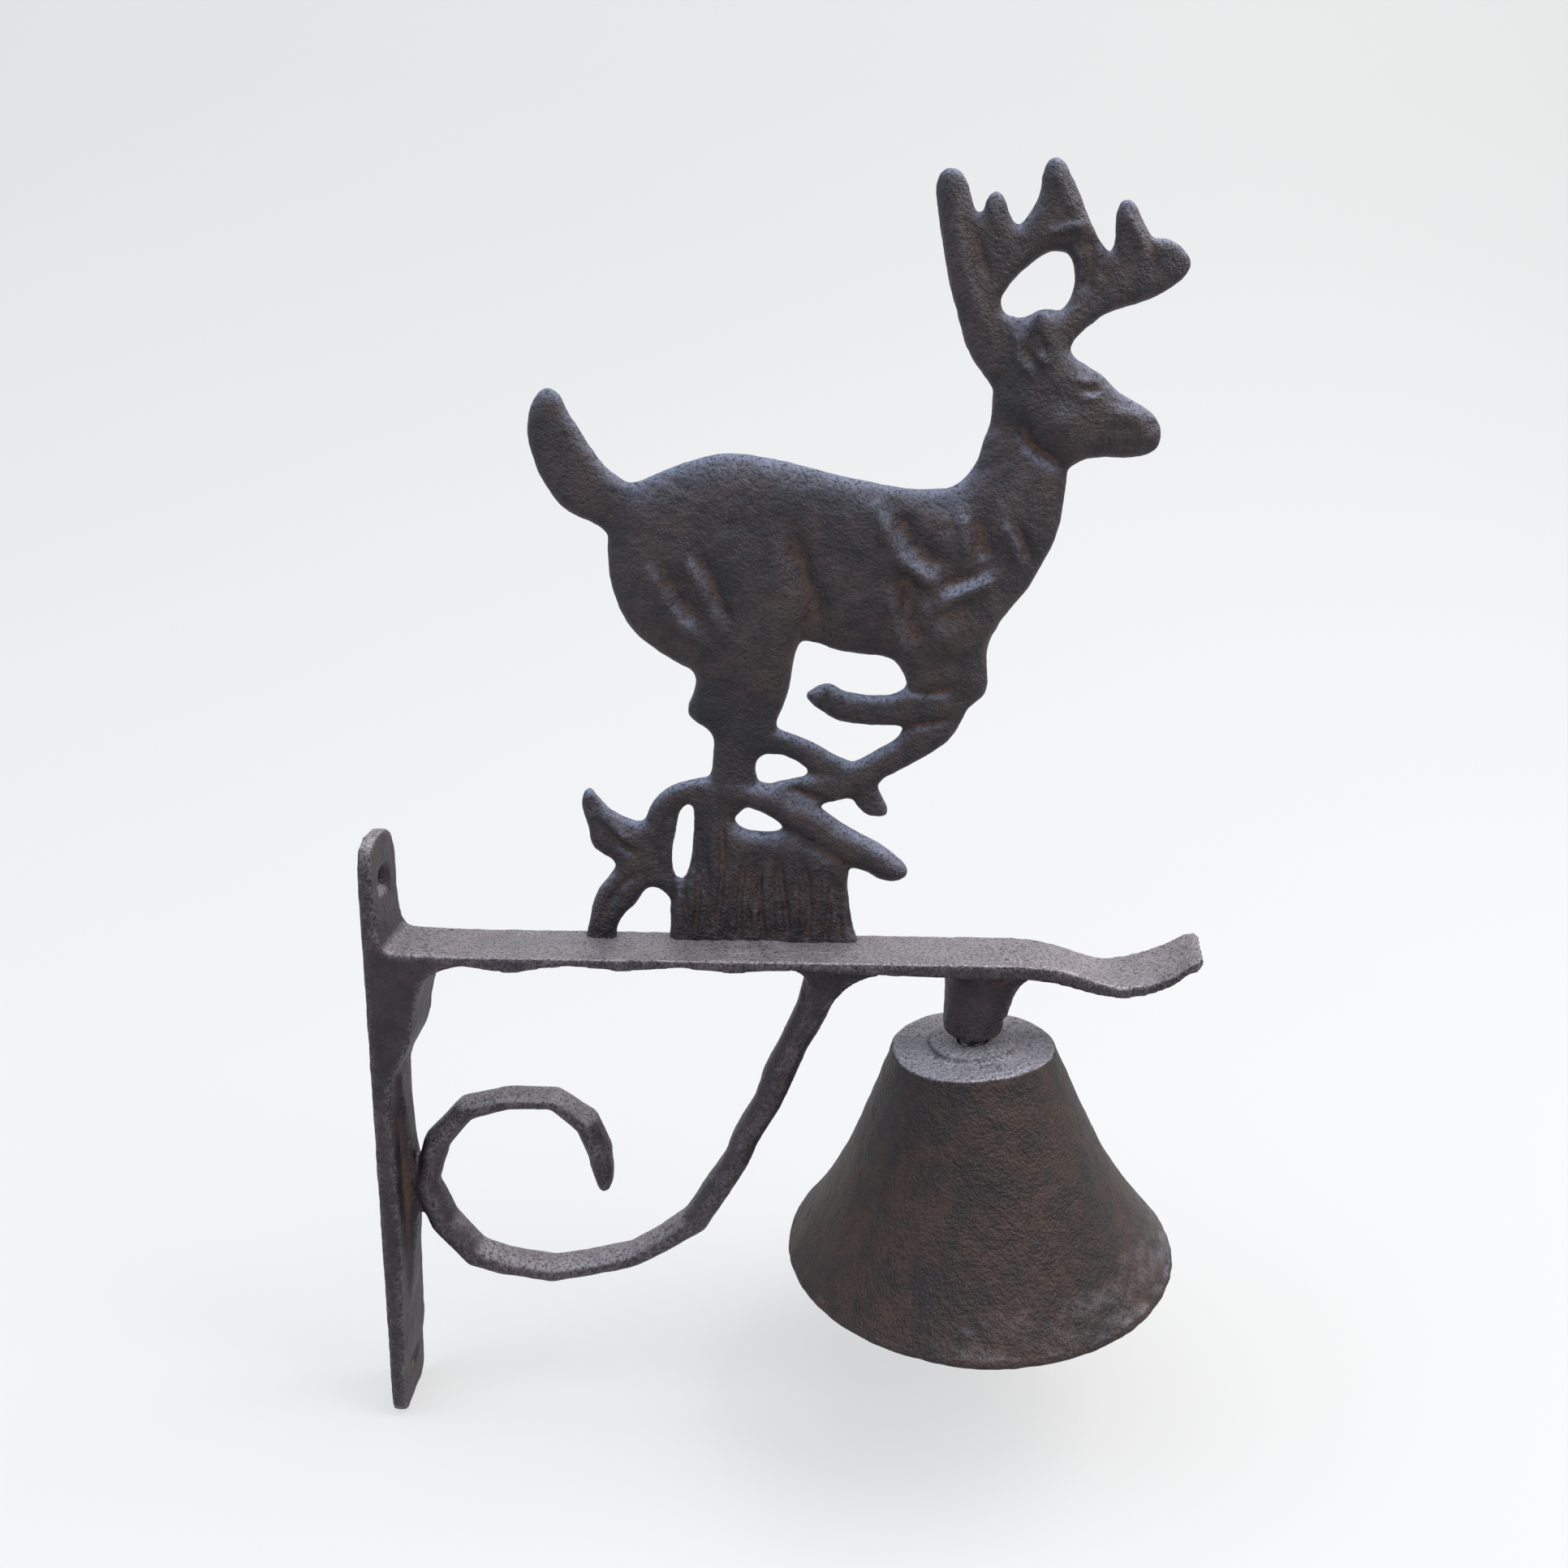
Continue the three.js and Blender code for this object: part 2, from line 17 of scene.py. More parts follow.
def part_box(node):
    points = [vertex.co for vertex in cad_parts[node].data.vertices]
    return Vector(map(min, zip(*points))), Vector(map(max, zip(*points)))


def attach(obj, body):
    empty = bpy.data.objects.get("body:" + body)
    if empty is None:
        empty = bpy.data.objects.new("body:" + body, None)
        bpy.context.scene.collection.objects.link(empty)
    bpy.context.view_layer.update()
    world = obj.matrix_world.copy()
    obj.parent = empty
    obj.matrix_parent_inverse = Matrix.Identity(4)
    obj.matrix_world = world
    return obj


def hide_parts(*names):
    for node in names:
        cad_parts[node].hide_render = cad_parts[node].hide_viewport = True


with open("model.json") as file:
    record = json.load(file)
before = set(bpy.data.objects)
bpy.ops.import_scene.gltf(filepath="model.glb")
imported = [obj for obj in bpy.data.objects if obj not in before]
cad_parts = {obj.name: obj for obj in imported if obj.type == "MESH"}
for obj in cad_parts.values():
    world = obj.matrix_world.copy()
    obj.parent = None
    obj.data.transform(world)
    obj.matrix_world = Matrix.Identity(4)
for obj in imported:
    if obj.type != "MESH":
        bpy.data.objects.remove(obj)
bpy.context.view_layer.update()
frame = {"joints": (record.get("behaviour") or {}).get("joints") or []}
MM = 0.001

# %% [markdown]
# ## Places taken from the frame
# Everything below is drawn in millimetres, x from the wall and z above the arm's top face, and
# put into the frame's metres at the very end. So the arm's top face is the one height to know.

# %% Heights and places
ARM_DROP = 25.5  # from the plate's top down to the arm's top face
ARM_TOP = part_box("wall_plate")[1].z / MM - ARM_DROP
ARM_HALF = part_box("bracket_arm")[1].y / MM
ARM_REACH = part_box("bracket_arm")[1].x / MM
PLATE_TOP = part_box("wall_plate")[1].z / MM - ARM_TOP
PLATE_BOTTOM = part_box("wall_plate")[0].z / MM - ARM_TOP
PLATE_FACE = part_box("wall_plate")[1].x / MM
JOINTS = {joint["name"]: joint for joint in frame["joints"]}
BELL_PLACE = Vector(JOINTS["bell_turn"]["pos_m"]) / MM
BELL_AXIS = Vector(JOINTS["bell_turn"]["axis"]).normalized()
LEAN = BELL_AXIS.angle(Vector((0, 0, 1)))
VIEW_FROM = Vector((87.7, -259.4, 103.1))
print("arm top at", round(ARM_TOP, 2), "mm; the bolt leans", round(math.degrees(LEAN), 2), "degrees")


def to_frame(obj, shift=(0, 0, ARM_TOP)):
    """Takes a piece drawn in mm above the arm's top face into the frame, in metres."""
    obj.data.transform(Matrix.Scale(MM, 4) @ Matrix.Translation(shift))
    return obj


# %% [markdown]
# ## From an outline to a casting
# A flat figure like this one was carved as a half-round pattern: its outline is exact, and
# between the edges the surface swells. So each part starts as an outline, is filled and
# extruded to a slab, remeshed to an even skin, and then every point is moved out by how far it
# lies from the outline. That gives rounded limbs and a full body from a few points each.

# %% Outlines
def smooth_loop(points, steps=5):
    """A closed curve through the points, as Catmull-Rom spans."""
    out = []
    n = len(points)
    for i in range(n):
        p0, p1, p2, p3 = (Vector(points[(i + k) % n]) for k in (-1, 0, 1, 2))
        t1 = max((p1 - p0).length ** 0.5, 1e-3)
        t2 = t1 + max((p2 - p1).length ** 0.5, 1e-3)
        t3 = t2 + max((p3 - p2).length ** 0.5, 1e-3)
        for s in range(steps):
            t = t1 + (t2 - t1) * s / steps
            a1 = p0 * ((t1 - t) / t1) + p1 * (t / t1)
            a2 = p1 * ((t2 - t) / (t2 - t1)) + p2 * ((t - t1) / (t2 - t1))
            a3 = p2 * ((t3 - t) / (t3 - t2)) + p3 * ((t - t2) / (t3 - t2))
            b1 = a1 * ((t2 - t) / t2) + a2 * (t / t2)
            b2 = a2 * ((t3 - t) / (t3 - t1)) + a3 * ((t - t1) / (t3 - t1))
            out.append(b1 * ((t2 - t) / (t2 - t1)) + b2 * ((t - t1) / (t2 - t1)))
    return out


def new_object(name, bm):
    """The finished bmesh as an object in the scene, with its faces turned outwards."""
    bmesh.ops.remove_doubles(bm, verts=bm.verts, dist=1e-5)
    bmesh.ops.recalc_face_normals(bm, faces=bm.faces)
    mesh = bpy.data.meshes.new(name)
    bm.to_mesh(mesh)
    bm.free()
    obj = bpy.data.objects.new(name, mesh)
    bpy.context.scene.collection.objects.link(obj)
    return obj


def slab(loop, half):
    """A bmesh slab: the loop of (x, z) points filled and given its thickness along y."""
    bm = bmesh.new()
    verts = [bm.verts.new((x, -half, z)) for x, z in loop]
    face = bm.faces.new(verts)
    grown = bmesh.ops.extrude_face_region(bm, geom=[face])
    moved = [g for g in grown["geom"] if isinstance(g, bmesh.types.BMVert)]
    bmesh.ops.translate(bm, verts=moved, vec=(0, 2 * half, 0))
    bmesh.ops.triangulate(bm, faces=bm.faces)
    return bm


def apply_modifiers(obj):
    """Bakes the live modifiers into the mesh."""
    graph = bpy.context.evaluated_depsgraph_get()
    done = bpy.data.meshes.new_from_object(obj.evaluated_get(graph))
    old = obj.data
    obj.modifiers.clear()
    obj.data = done
    bpy.data.meshes.remove(old)
    return obj


def remesh(obj, voxel, smooth=0, factor=0.5):
    """An even skin of small squares over everything the object holds, joined where it overlaps."""
    skin = obj.modifiers.new("skin", "REMESH")
    skin.mode = "VOXEL"
    skin.voxel_size = voxel
    if smooth:
        ease = obj.modifiers.new("ease", "SMOOTH")
        ease.factor = factor
        ease.iterations = smooth
    return apply_modifiers(obj)


def points_of(obj):
    co = np.empty(len(obj.data.vertices) * 3)
    obj.data.vertices.foreach_get("co", co)
    return co.reshape(-1, 3)


def set_points(obj, co):
    obj.data.vertices.foreach_set("co", co.ravel())
    obj.data.update()


def normals_of(obj):
    no = np.empty(len(obj.data.vertices) * 3)
    obj.data.vertices.foreach_get("normal", no)
    return no.reshape(-1, 3)


def distance_to_line(x, z, line):
    """The distance in the x-z plane from each point to an open line of (x, z) points."""
    best = np.full(x.shape, 1e9)
    for (ax, az), (bx, bz) in zip(line[:-1], line[1:]):
        dx, dz = bx - ax, bz - az
        t = np.clip(((x - ax) * dx + (z - az) * dz) / max(dx * dx + dz * dz, 1e-9), 0, 1)
        best = np.minimum(best, np.hypot(x - ax - t * dx, z - az - t * dz))
    return best


def swollen(name, points, depth, reach, voxel=0.7, shift=0.0, rim=0.9):
    """A part swollen from its outline: depth is its half thickness far from the edge, a number or
    a function of x and z, and reach is how far in from the edge it takes to get there."""
    loop = smooth_loop(points)
    obj = remesh(new_object(name, slab(loop, 2.0)), voxel)
    co = points_of(obj)
    closed = [tuple(p) for p in loop] + [tuple(loop[0])]
    d = distance_to_line(co[:, 0], co[:, 2], closed)
    full = depth(co[:, 0], co[:, 2]) if callable(depth) else depth
    half = rim + (full - rim) * np.sqrt(1 - np.exp(-((d / reach) + (d / reach) ** 2)))
    co[:, 1] = shift + co[:, 1] / 2.0 * half
    set_points(obj, co)
    return obj


def join(name, parts):
    """Several objects as one."""
    bm = bmesh.new()
    for part in parts:
        bm.from_mesh(part.data)
        bpy.data.objects.remove(part)
    return new_object(name, bm)


def ramp(value, low, high):
    """0 below low, 1 above high, and smooth between."""
    t = np.clip((value - low) / (high - low), 0, 1)
    return t * t * (3 - 2 * t)


# %% [markdown]
# ## The stag
# The animal is drawn at a gallop in profile. The body and neck are one swelling; the head,
# antlers, tail and legs are their own outlines that run well into it, as an animal's muscles
# do, and one remesh joins them with soft creases.

# %% The stag's body, head and tail
def body_depth(x, z):
    neck = ramp(z, 92, 112) * ramp(x, 118, 128)
    belly = (1 - ramp(z, 66, 84)) * ramp(x, 86, 94) * (1 - ramp(x, 112, 120))
    return 4.8 - 1.2 * neck - 0.8 * belly


BODY = [(53.4, 90), (53.5, 84), (54.4, 78.6), (57.9, 71.4), (64.3, 66), (71, 62.8), (80, 63.5),
        (88, 67), (93.4, 69.3), (97.1, 68.7), (101.4, 67.3), (106.4, 66.6), (112.1, 66),
        (118, 63), (126, 62.5), (132, 65), (133.3, 68), (133.7, 70.4), (135.8, 74.2),
        (138.3, 77.5), (140.8, 80.8), (143.7, 86.2), (145.8, 90.8), (146.9, 95.8), (147.2, 100),
        (147.3, 105), (146, 110), (140, 117), (134, 122), (131.6, 120), (131.2, 115),
        (130, 110.8), (128.7, 106.7), (126.7, 103.3), (124.2, 101.5), (119.3, 100.9),
        (113.6, 101.1), (108, 102), (102, 103), (96.4, 104.3), (90.7, 105.6), (85, 106.6),
        (80.7, 107.1), (76.4, 107), (72, 106), (67, 104.3), (63.6, 102.9), (60, 101.3),
        (57, 100.4), (54.5, 96.5)]
HEAD = [(131.4, 117), (131.5, 121), (132.5, 127), (134.8, 133.6), (137.9, 134.8), (139.2, 135.8),
        (143.3, 135.6), (145.2, 132), (146, 128.3), (149.2, 125.8), (152.5, 124.2),
        (155.8, 121.2), (159.2, 119.3), (162.5, 117.5), (165, 115.3), (166.1, 112),
        (165.2, 109.6), (163.3, 108.4), (160, 107.8), (155, 107.8), (150.4, 107.3),
        (147.6, 105.5), (143, 106), (137, 110)]
TAIL = [(57.5, 100.8), (54, 103.2), (50, 108.2), (46, 114.2), (44, 118), (41.4, 119.3),
        (38.8, 116.8), (37.4, 111), (38.2, 106.4), (40.4, 100.7), (42.9, 97), (45.7, 94.6),
        (49.3, 93), (53, 91.1), (58, 88), (62, 93)]
EAR = [(138.6, 135.2), (140.4, 135), (142.4, 130.5), (142.6, 126.5), (141.4, 124.6),
       (139.6, 126.8), (138.2, 130.5)]


def stag_trunk():
    muzzle = lambda x, z: 4.0 - 1.0 * ramp(x, 150, 163)
    parts = [swollen("body", BODY, body_depth, 9.0),
             swollen("head", HEAD, muzzle, 4.2),
             swollen("tail", TAIL, 2.9, 2.6)]
    for side in (-1, 1):
        parts.append(swollen("ear", EAR, 1.2, 1.2, shift=side * 3.6, rim=0.5))
    return parts


# %% [markdown]
# ## Antlers
# The two antlers stand one behind the other and are webbed where the metal had to flow, so
# each is one outline with its tines, and they share a bridge above the ear.

# %% Antlers
REAR_ANTLER = [(131.3, 120.9), (134.5, 124), (137, 131), (135.2, 134.2), (132.9, 134.8),
               (131.7, 136.7), (132.1, 138.3), (133.7, 140.8), (136.7, 143.7), (140, 146),
               (142.5, 146.7), (144.6, 146.3), (147, 144.5), (150.5, 144.5), (151.7, 146.7),
               (150, 149.6), (148.3, 152.5), (146.7, 155.4), (145, 158.7), (143.3, 161.7),
               (141.8, 163.3), (140.4, 163.7), (139.3, 162.9), (138.5, 160.8), (138.2, 157),
               (137, 154.6), (135.4, 152), (134, 150.8), (132.5, 153.3), (131.5, 155.8),
               (130.4, 157.2), (129.2, 157.3), (127.7, 155.8), (127.3, 153.3), (126.8, 151.7),
               (125.4, 155), (124.3, 157.9), (122.9, 160.6), (120.7, 161.4), (118.6, 160.4),
               (117.9, 157.9), (118.7, 152.5), (120, 146.7), (121.7, 139.2), (123.2, 135),
               (124.8, 130), (126.8, 126.2), (130, 122.3)]
FRONT_ANTLER = [(143.5, 135.6), (144.8, 136.7), (145.7, 138.7), (146.1, 141.7), (145.6, 144.6),
                (144.6, 146.4), (147, 149), (151, 148.2), (152.9, 145.6), (153.5, 150),
                (153.5, 154.2), (154.2, 156.2), (155.4, 156.7), (156.8, 155.7), (158.3, 153.3),
                (160, 150.4), (161, 149.4), (162.5, 149.5), (164.6, 149.2), (166.7, 147.9),
                (168.6, 146), (168.9, 144.6), (167.9, 142.5), (165.8, 140.7), (163.3, 139),
                (160, 137.7), (155.8, 136.4), (152.5, 135), (149.2, 132.5), (147, 130.4),
                (146, 128.3), (142, 127), (140, 131)]


def stag_antlers():
    return [swollen("rear antler", REAR_ANTLER, 2.5, 2.2),
            swollen("front antler", FRONT_ANTLER, 2.5, 2.2)]


# %% [markdown]
# ## Legs
# One hind leg stands on the stump and the other trails behind it. One foreleg is folded and
# the other reaches down and back. They cross, and the founder left them fused where they do.

# %% Legs
HIND_LEG = [(66, 82), (72, 90), (84, 92), (92, 86), (95, 77), (93.6, 69.5), (92.5, 65.7),
            (91.8, 60.7), (91.1, 57.1), (89.6, 53.2), (88.9, 51.1), (88, 47.5), (86.8, 44.6),
            (85, 43.6), (84.6, 41.4), (85.2, 38), (83, 33), (79.5, 30), (76, 32), (75, 36),
            (74.9, 39.3), (75.4, 43), (75.6, 46.4), (75.4, 48.4), (74, 50), (71.4, 51.4),
            (70, 53), (70, 55), (71.2, 58), (71.7, 61), (70.4, 63), (67.4, 66), (65, 73)]
TRAILING_LEG = [(84, 51.5), (89.6, 50), (91.4, 49.4), (94.3, 48.4), (97.9, 46.8), (101.4, 44.9),
                (105.4, 43), (110, 39.5), (113, 34.5), (113.9, 31.9), (113.3, 31.1),
                (111.1, 30.8), (108.9, 31.4), (107.2, 32.8), (106.1, 34.4), (104.6, 36),
                (100.5, 38.5), (96.8, 40.6), (93.6, 42.9), (90, 44.4), (86.8, 44.6), (83, 46)]
FORELEG = [(113, 80), (119, 90), (128, 92), (136, 84), (135.8, 74.2), (133.7, 70.4),
           (133.2, 67.5), (133.6, 63.3), (133.8, 61), (133.6, 59.4), (132.5, 57.5),
           (130.3, 55.8), (129.2, 54.2), (126, 51), (120, 51), (116.4, 53.5), (114.5, 57),
           (116.6, 60), (115.7, 62.5), (114.2, 65), (111.5, 71)]
FOLDED_LEG = [(122, 61.5), (116.5, 59.7), (113.6, 58.2), (109.3, 58), (105, 58.4),
              (102.5, 59.1), (100.7, 60.2), (98.6, 60.3), (96.4, 59.1), (94.9, 57.5),
              (96.1, 56.1), (99.3, 53.9), (102.1, 52.3), (106.4, 51.6), (112.1, 51.4),
              (118, 51.6), (126, 53), (129, 57)]
REACHING_LEG = [(129.2, 55), (128.3, 51.7), (126.7, 48.9), (123.9, 46.4), (120, 43.9),
                (116.1, 41.7), (112.8, 39.7), (110, 37.6), (106.5, 35.2), (104.4, 34.9),
                (101.7, 34.3), (98.9, 33.4), (94, 32.5), (89, 33), (86, 36), (88.6, 38.2),
                (92.1, 39.1), (96.5, 40.2), (101, 41.4), (105.4, 43), (108.6, 44.6),
                (112.1, 46.8), (115, 48.6), (116.6, 51.5), (120, 56)]


def stag_legs():
    thigh = lambda x, z: 2.7 + 2.3 * ramp(z, 50, 72)
    shoulder = lambda x, z: 2.8 + 2.1 * ramp(z, 58, 74)
    return [swollen("hind leg", HIND_LEG, thigh, 4.0),
            swollen("trailing leg", TRAILING_LEG, 2.2, 1.9, shift=0.3),
            swollen("foreleg", FORELEG, shoulder, 4.0),
            swollen("folded leg", FOLDED_LEG, 2.4, 2.0, shift=-0.5),
            swollen("reaching leg", REACHING_LEG, 2.3, 2.0)]


# %% [markdown]
# ## Stump, fallen limb and leafy branch
# The stump carries the whole figure, so it is a plain thick block with flat faces, and bark
# grooves carved down it. The branch beside it is as thin as the legs.

# %% Stump and branches
STUMP = [(65.9, -2.8), (66.0, 1), (66.1, 5), (66.2, 10), (67, 13.5), (69.2, 16), (70.6, 20), (71.2, 26),
         (71.3, 31), (70.8, 34), (70, 37.2), (73, 38.8), (76, 39), (80, 38), (80.4, 33.4),
         (79.8, 30.5), (80.7, 28.9), (82.6, 27.7), (86.4, 27.1), (89.6, 27.3), (92, 28),
         (98, 24.8), (104, 21), (105.6, 18.4), (105.5, 15), (106.2, 10), (107, 5.7),
         (108.2, 1.8), (109.2, -2.8)]
FALLEN_LIMB = [(76, 38.5), (80, 39.3), (84.8, 38.3), (88.5, 37.8), (92, 36), (98.6, 33),
               (102.9, 30), (107.9, 27.1), (112.9, 24.3), (116.4, 21.8), (118.5, 19.4),
               (118.6, 17.9), (117.1, 16.6), (114.3, 16.2), (112, 16.9), (109.3, 18.4),
               (106.4, 19.4), (104, 20.5), (98, 24), (90.5, 28.8), (87.9, 30.7), (83.6, 32.5),
               (80.4, 33.2), (77, 34)]
LEAF_BRANCH = [(54.4, -2.8), (46.9, -2.8), (47.2, 0.5), (47.5, 3.2), (48.2, 6.4), (48.9, 10), (50.4, 13.6),
               (52.9, 16.8), (54.3, 18.9), (53.6, 20.1), (50.7, 21.8), (48.9, 23.9),
               (48.2, 27.9), (47.1, 31.4), (47, 34.6), (48.7, 36.7), (51.1, 33.6),
               (53.6, 31.4), (57.1, 29.6), (60, 28.8), (60.9, 30), (62.1, 33.2), (64.3, 35.7),
               (67.1, 37.5), (70.7, 38.6), (74.6, 39.1), (75, 36), (73, 33.2), (70, 33.1),
               (68.6, 31.8), (67.5, 27.1), (66.6, 21.1), (67.1, 17.1), (69.5, 15.2),
               (69, 12.4), (66.2, 11.4), (65.2, 12.4), (63.6, 13.6), (61.4, 13.8), (60, 12.5),
               (58.6, 10), (55.7, 7.1), (54.2, 4.2)]


def stag_ground():
    block = lambda x, z: 2.9 - 0.5 * ramp(z, 26, 37)
    return [swollen("stump", STUMP, block, 3.2, rim=1.2),
            swollen("fallen limb", FALLEN_LIMB, 3.5, 3.0),
            swollen("leaf branch", LEAF_BRANCH, 2.1, 2.0)]


# %% [markdown]
# ## Carving
# Muscle, bark and face are lines cut into or raised on both faces, and the back is flattened
# later. A line is a few points, a width and a depth: plus cuts a groove, minus raises a ridge.

# %% The carver
def stroke(x, z, line, width):
    """How strongly a soft stroke along the line touches each point, fading at its ends."""
    sizes = [math.hypot(b[0] - a[0], b[1] - a[1]) for a, b in zip(line[:-1], line[1:])]
    total = sum(sizes)
    best = np.full(x.shape, 1e9)
    along = np.zeros(x.shape)
    gone = 0.0
    for (ax, az), (bx, bz), size in zip(line[:-1], line[1:], sizes):
        t = np.clip(((x - ax) * (bx - ax) + (z - az) * (bz - az)) / size ** 2, 0, 1)
        d = np.hypot(x - ax - t * (bx - ax), z - az - t * (bz - az))
        along = np.where(d < best, (gone + t * size) / total, along)
        best = np.minimum(best, d)
        gone += size
    fade = np.clip(np.minimum(along, 1 - along) / 0.22, 0, 1)
    return np.exp(-2 * (best / width) ** 2) * (0.35 + 0.65 * fade * fade * (3 - 2 * fade))


def carve(obj, lines):
    """Moves the broad faces in (plus) or out (minus) along each line, on both sides alike."""
    co = points_of(obj)
    facing = np.abs(normals_of(obj)[:, 1])
    side = np.sign(co[:, 1])
    touch = ramp(facing, 0.15, 0.7)
    for depth, width, line in lines:
        co[:, 1] -= side * depth * touch * stroke(co[:, 0], co[:, 2], line, width)
    set_points(obj, co)


STAG_LINES = [
    # broad swellings of haunch and shoulder, and the flatter flank between them
    (-0.7, 9.0, [(76, 92), (80, 84), (84, 76)]),
    (-0.6, 7.0, [(121, 92), (126, 84)]),
    (0.6, 8.0, [(99, 92), (103, 84), (105, 77)]),
    # haunch: two long folds, each a ridge with its hollow on the right
    (-1.1, 2.3, [(61, 85), (62.9, 82.1), (65.0, 77.4), (68.4, 72.6), (72.6, 68.5)]),
    (1.0, 2.4, [(65.7, 83.2), (68.4, 78.1), (72.6, 72.7)]),
    (-1.2, 2.3, [(69.5, 86.3), (72.6, 81.6), (75.3, 75.5), (77.8, 71.7)]),
    (1.2, 2.3, [(71.9, 87.4), (74.6, 81.7), (77.2, 75.6), (79.4, 72)]),
    # the thigh's front edge, proud of the belly
    (-0.8, 3.5, [(87.2, 91), (89.2, 84.7), (92.0, 77.2), (93.2, 71.7)]),
    (1.8, 3.8, [(91.0, 92), (93.9, 83.4), (96.5, 76.6), (97.8, 70.5)]),
    # shoulder blade with the hollow behind it
    (-1.3, 2.3, [(108.5, 96.5), (110.8, 91.8), (113.0, 87.2), (117.3, 83.9), (121.6, 80.5)]),
    (1.6, 3.8, [(112.4, 96.3), (115.4, 91.0), (119.7, 87.0), (124, 85.0)]),
    (0.9, 2.6, [(113.6, 82.8), (118.3, 79.2)]),
    # upper arm and elbow
    (-1.3, 2.4, [(120.4, 76.4), (125.1, 79.2), (129.9, 81.4), (133.9, 83.2)]),
    (1.0, 2.0, [(123.3, 80.9), (126.4, 82.4), (130.4, 84.2)]),
    (-0.9, 4.3, [(119.8, 71.5), (126.3, 70.5)]),
    (-1.0, 2.0, [(111.3, 79.6), (112.9, 74.1), (114.5, 69.3), (117.0, 65.6)]),
    (1.5, 2.6, [(114.9, 81.0), (116.8, 74.2), (119.0, 68.6)]),
    (-0.5, 2.2, [(118.4, 60.8), (123.2, 62.1), (128.5, 62.5)]),
    # chest and neck folds
    (1.5, 3.2, [(129.6, 95.4), (130.4, 90.2), (131.6, 86.6)]),
    (-0.9, 2.2, [(125.4, 96.1), (126.6, 91.5), (127.1, 87.4)]),
    (-1.1, 1.9, [(133.9, 94.8), (136.7, 89.9), (138.3, 86.3)]),
    (1.0, 1.9, [(136.5, 94.2), (139.2, 89.9), (140.6, 86.6)]),
    (0.5, 2.7, [(133.1, 122.6), (132.3, 115.5), (130.8, 110.1)]),
    # jaw, cheek, eye, muzzle and mouth
    (1.4, 1.9, [(136.6, 115.0), (138.5, 110.3), (142.2, 107.6), (145.6, 106.6)]),
    (-0.9, 3.4, [(142.8, 115.2), (147.5, 113.4)]),
    (1.2, 1.2, [(149.0, 120.5), (151.3, 120.4)]),
    (-0.9, 0.8, [(149.5, 119.2), (151.9, 119.5)]),
    (-0.6, 0.9, [(146.9, 122.3), (149.8, 122.2)]),
    (-0.6, 2.2, [(154.6, 115.8), (158.9, 116.2), (162.0, 113.9)]),
    (0.5, 0.9, [(157.0, 110.6), (161.0, 110.2), (164.6, 110.9)]),
    (0.6, 0.8, [(163.0, 114.4), (164.4, 113.6)]),
    # ear
    (1.2, 1.0, [(138.2, 131.0), (140.6, 127.3)]),
    (1.0, 0.9, [(136.2, 128.6), (138.7, 125.2)]),
    (-0.8, 0.9, [(134.6, 131.6), (135.3, 126.0), (138.7, 122.6)]),
    (-0.8, 0.7, [(139.2, 126.6), (141.2, 125.0)]),
    # antlers: a crest up the beam, hollows between the tines, a ledge under the great tine
    (-0.8, 1.4, [(120.5, 157.2), (122.1, 150.1), (124.0, 142.9), (126.1, 137.3),
                 (129.6, 130.6)]),
    (1.0, 1.2, [(125.8, 150.2), (127.0, 145.2), (129.2, 140.4)]),
    (-0.5, 1.0, [(128.6, 155), (129.8, 149.7)]),
    (-0.6, 1.2, [(140.6, 160.4), (143.0, 155.4), (145.0, 152.2)]),
    (-0.9, 0.9, [(139.4, 149.2), (143.3, 150.4), (147.2, 151.3)]),
    (1.3, 2.0, [(145.6, 148.2), (148.6, 147.4), (148.6, 142.8), (147.9, 137.8)]),
    (0.8, 1.4, [(151.6, 144.8), (151.9, 140.7), (150.6, 137.2)]),
    (-0.6, 1.1, [(154.0, 154.4), (157.1, 149.7), (159.0, 146.2)]),
    (0.9, 1.0, [(160.0, 148.8), (161.0, 145.2), (160.6, 142.2)]),
    # where the legs cross
    (1.3, 1.4, [(100, 34.6), (96, 35.8), (92, 37.4)]),
    (0.9, 0.9, [(106.0, 38.4), (106.5, 36), (107.4, 34)]),
    (0.8, 1.0, [(116.5, 58.9), (121, 58.6), (126, 59.6)]),
    (0.7, 1.0, [(116, 51.4), (121, 52), (127, 53.4)]),
    # hoofs and the leafy branch
    (0.8, 0.8, [(98.6, 59.9), (99.4, 57.6), (98.2, 55.4)]),
    (0.9, 1.1, [(49.5, 34), (51.5, 29), (55, 24.5), (59.5, 21)]),
    (-0.8, 1.1, [(49.9, 31.5), (53.5, 27.6), (58, 24.6)]),
    (0.8, 1.0, [(50.6, 4), (52, 9.5), (55.4, 14.6), (60, 18)]),
    (0.7, 1.0, [(66, 15), (63.4, 21), (64.4, 28), (67.6, 33)]),
]


def bark_lines():
    """Grooves down the stump, each a wandering line."""
    lines = []
    x = 68.2
    k = 0
    while x < 106:
        top = 26 - 0.18 * max(x - 80, 0) if x > 79 else 36
        low = 1.0 + 1.5 * math.sin(k * 2.1)
        wander = 0.9 * math.sin(k * 1.7)
        line = [(x + 0.10 * (x - 87) * (1 - z / 30) + wander * math.sin(z / 5 + k), z)
                for z in np.linspace(low, top - 2 - 2 * abs(math.sin(k * 1.3)), 7)]
        lines.append((1.35 + 0.4 * math.sin(k * 3.3), 0.85, line))
        x += 2.3 + 0.5 * math.sin(k * 2.7)
        k += 1
    return lines


# %% [markdown]
# ## The grain of sand casting
# Iron poured in sand keeps the sand's grain. Lumps of a few millimetres are real geometry here,
# and the finer grain is left to the finish. The same pass records how hollow or proud each
# point is, so that the finish can put rust in the hollows and wear on the crests.

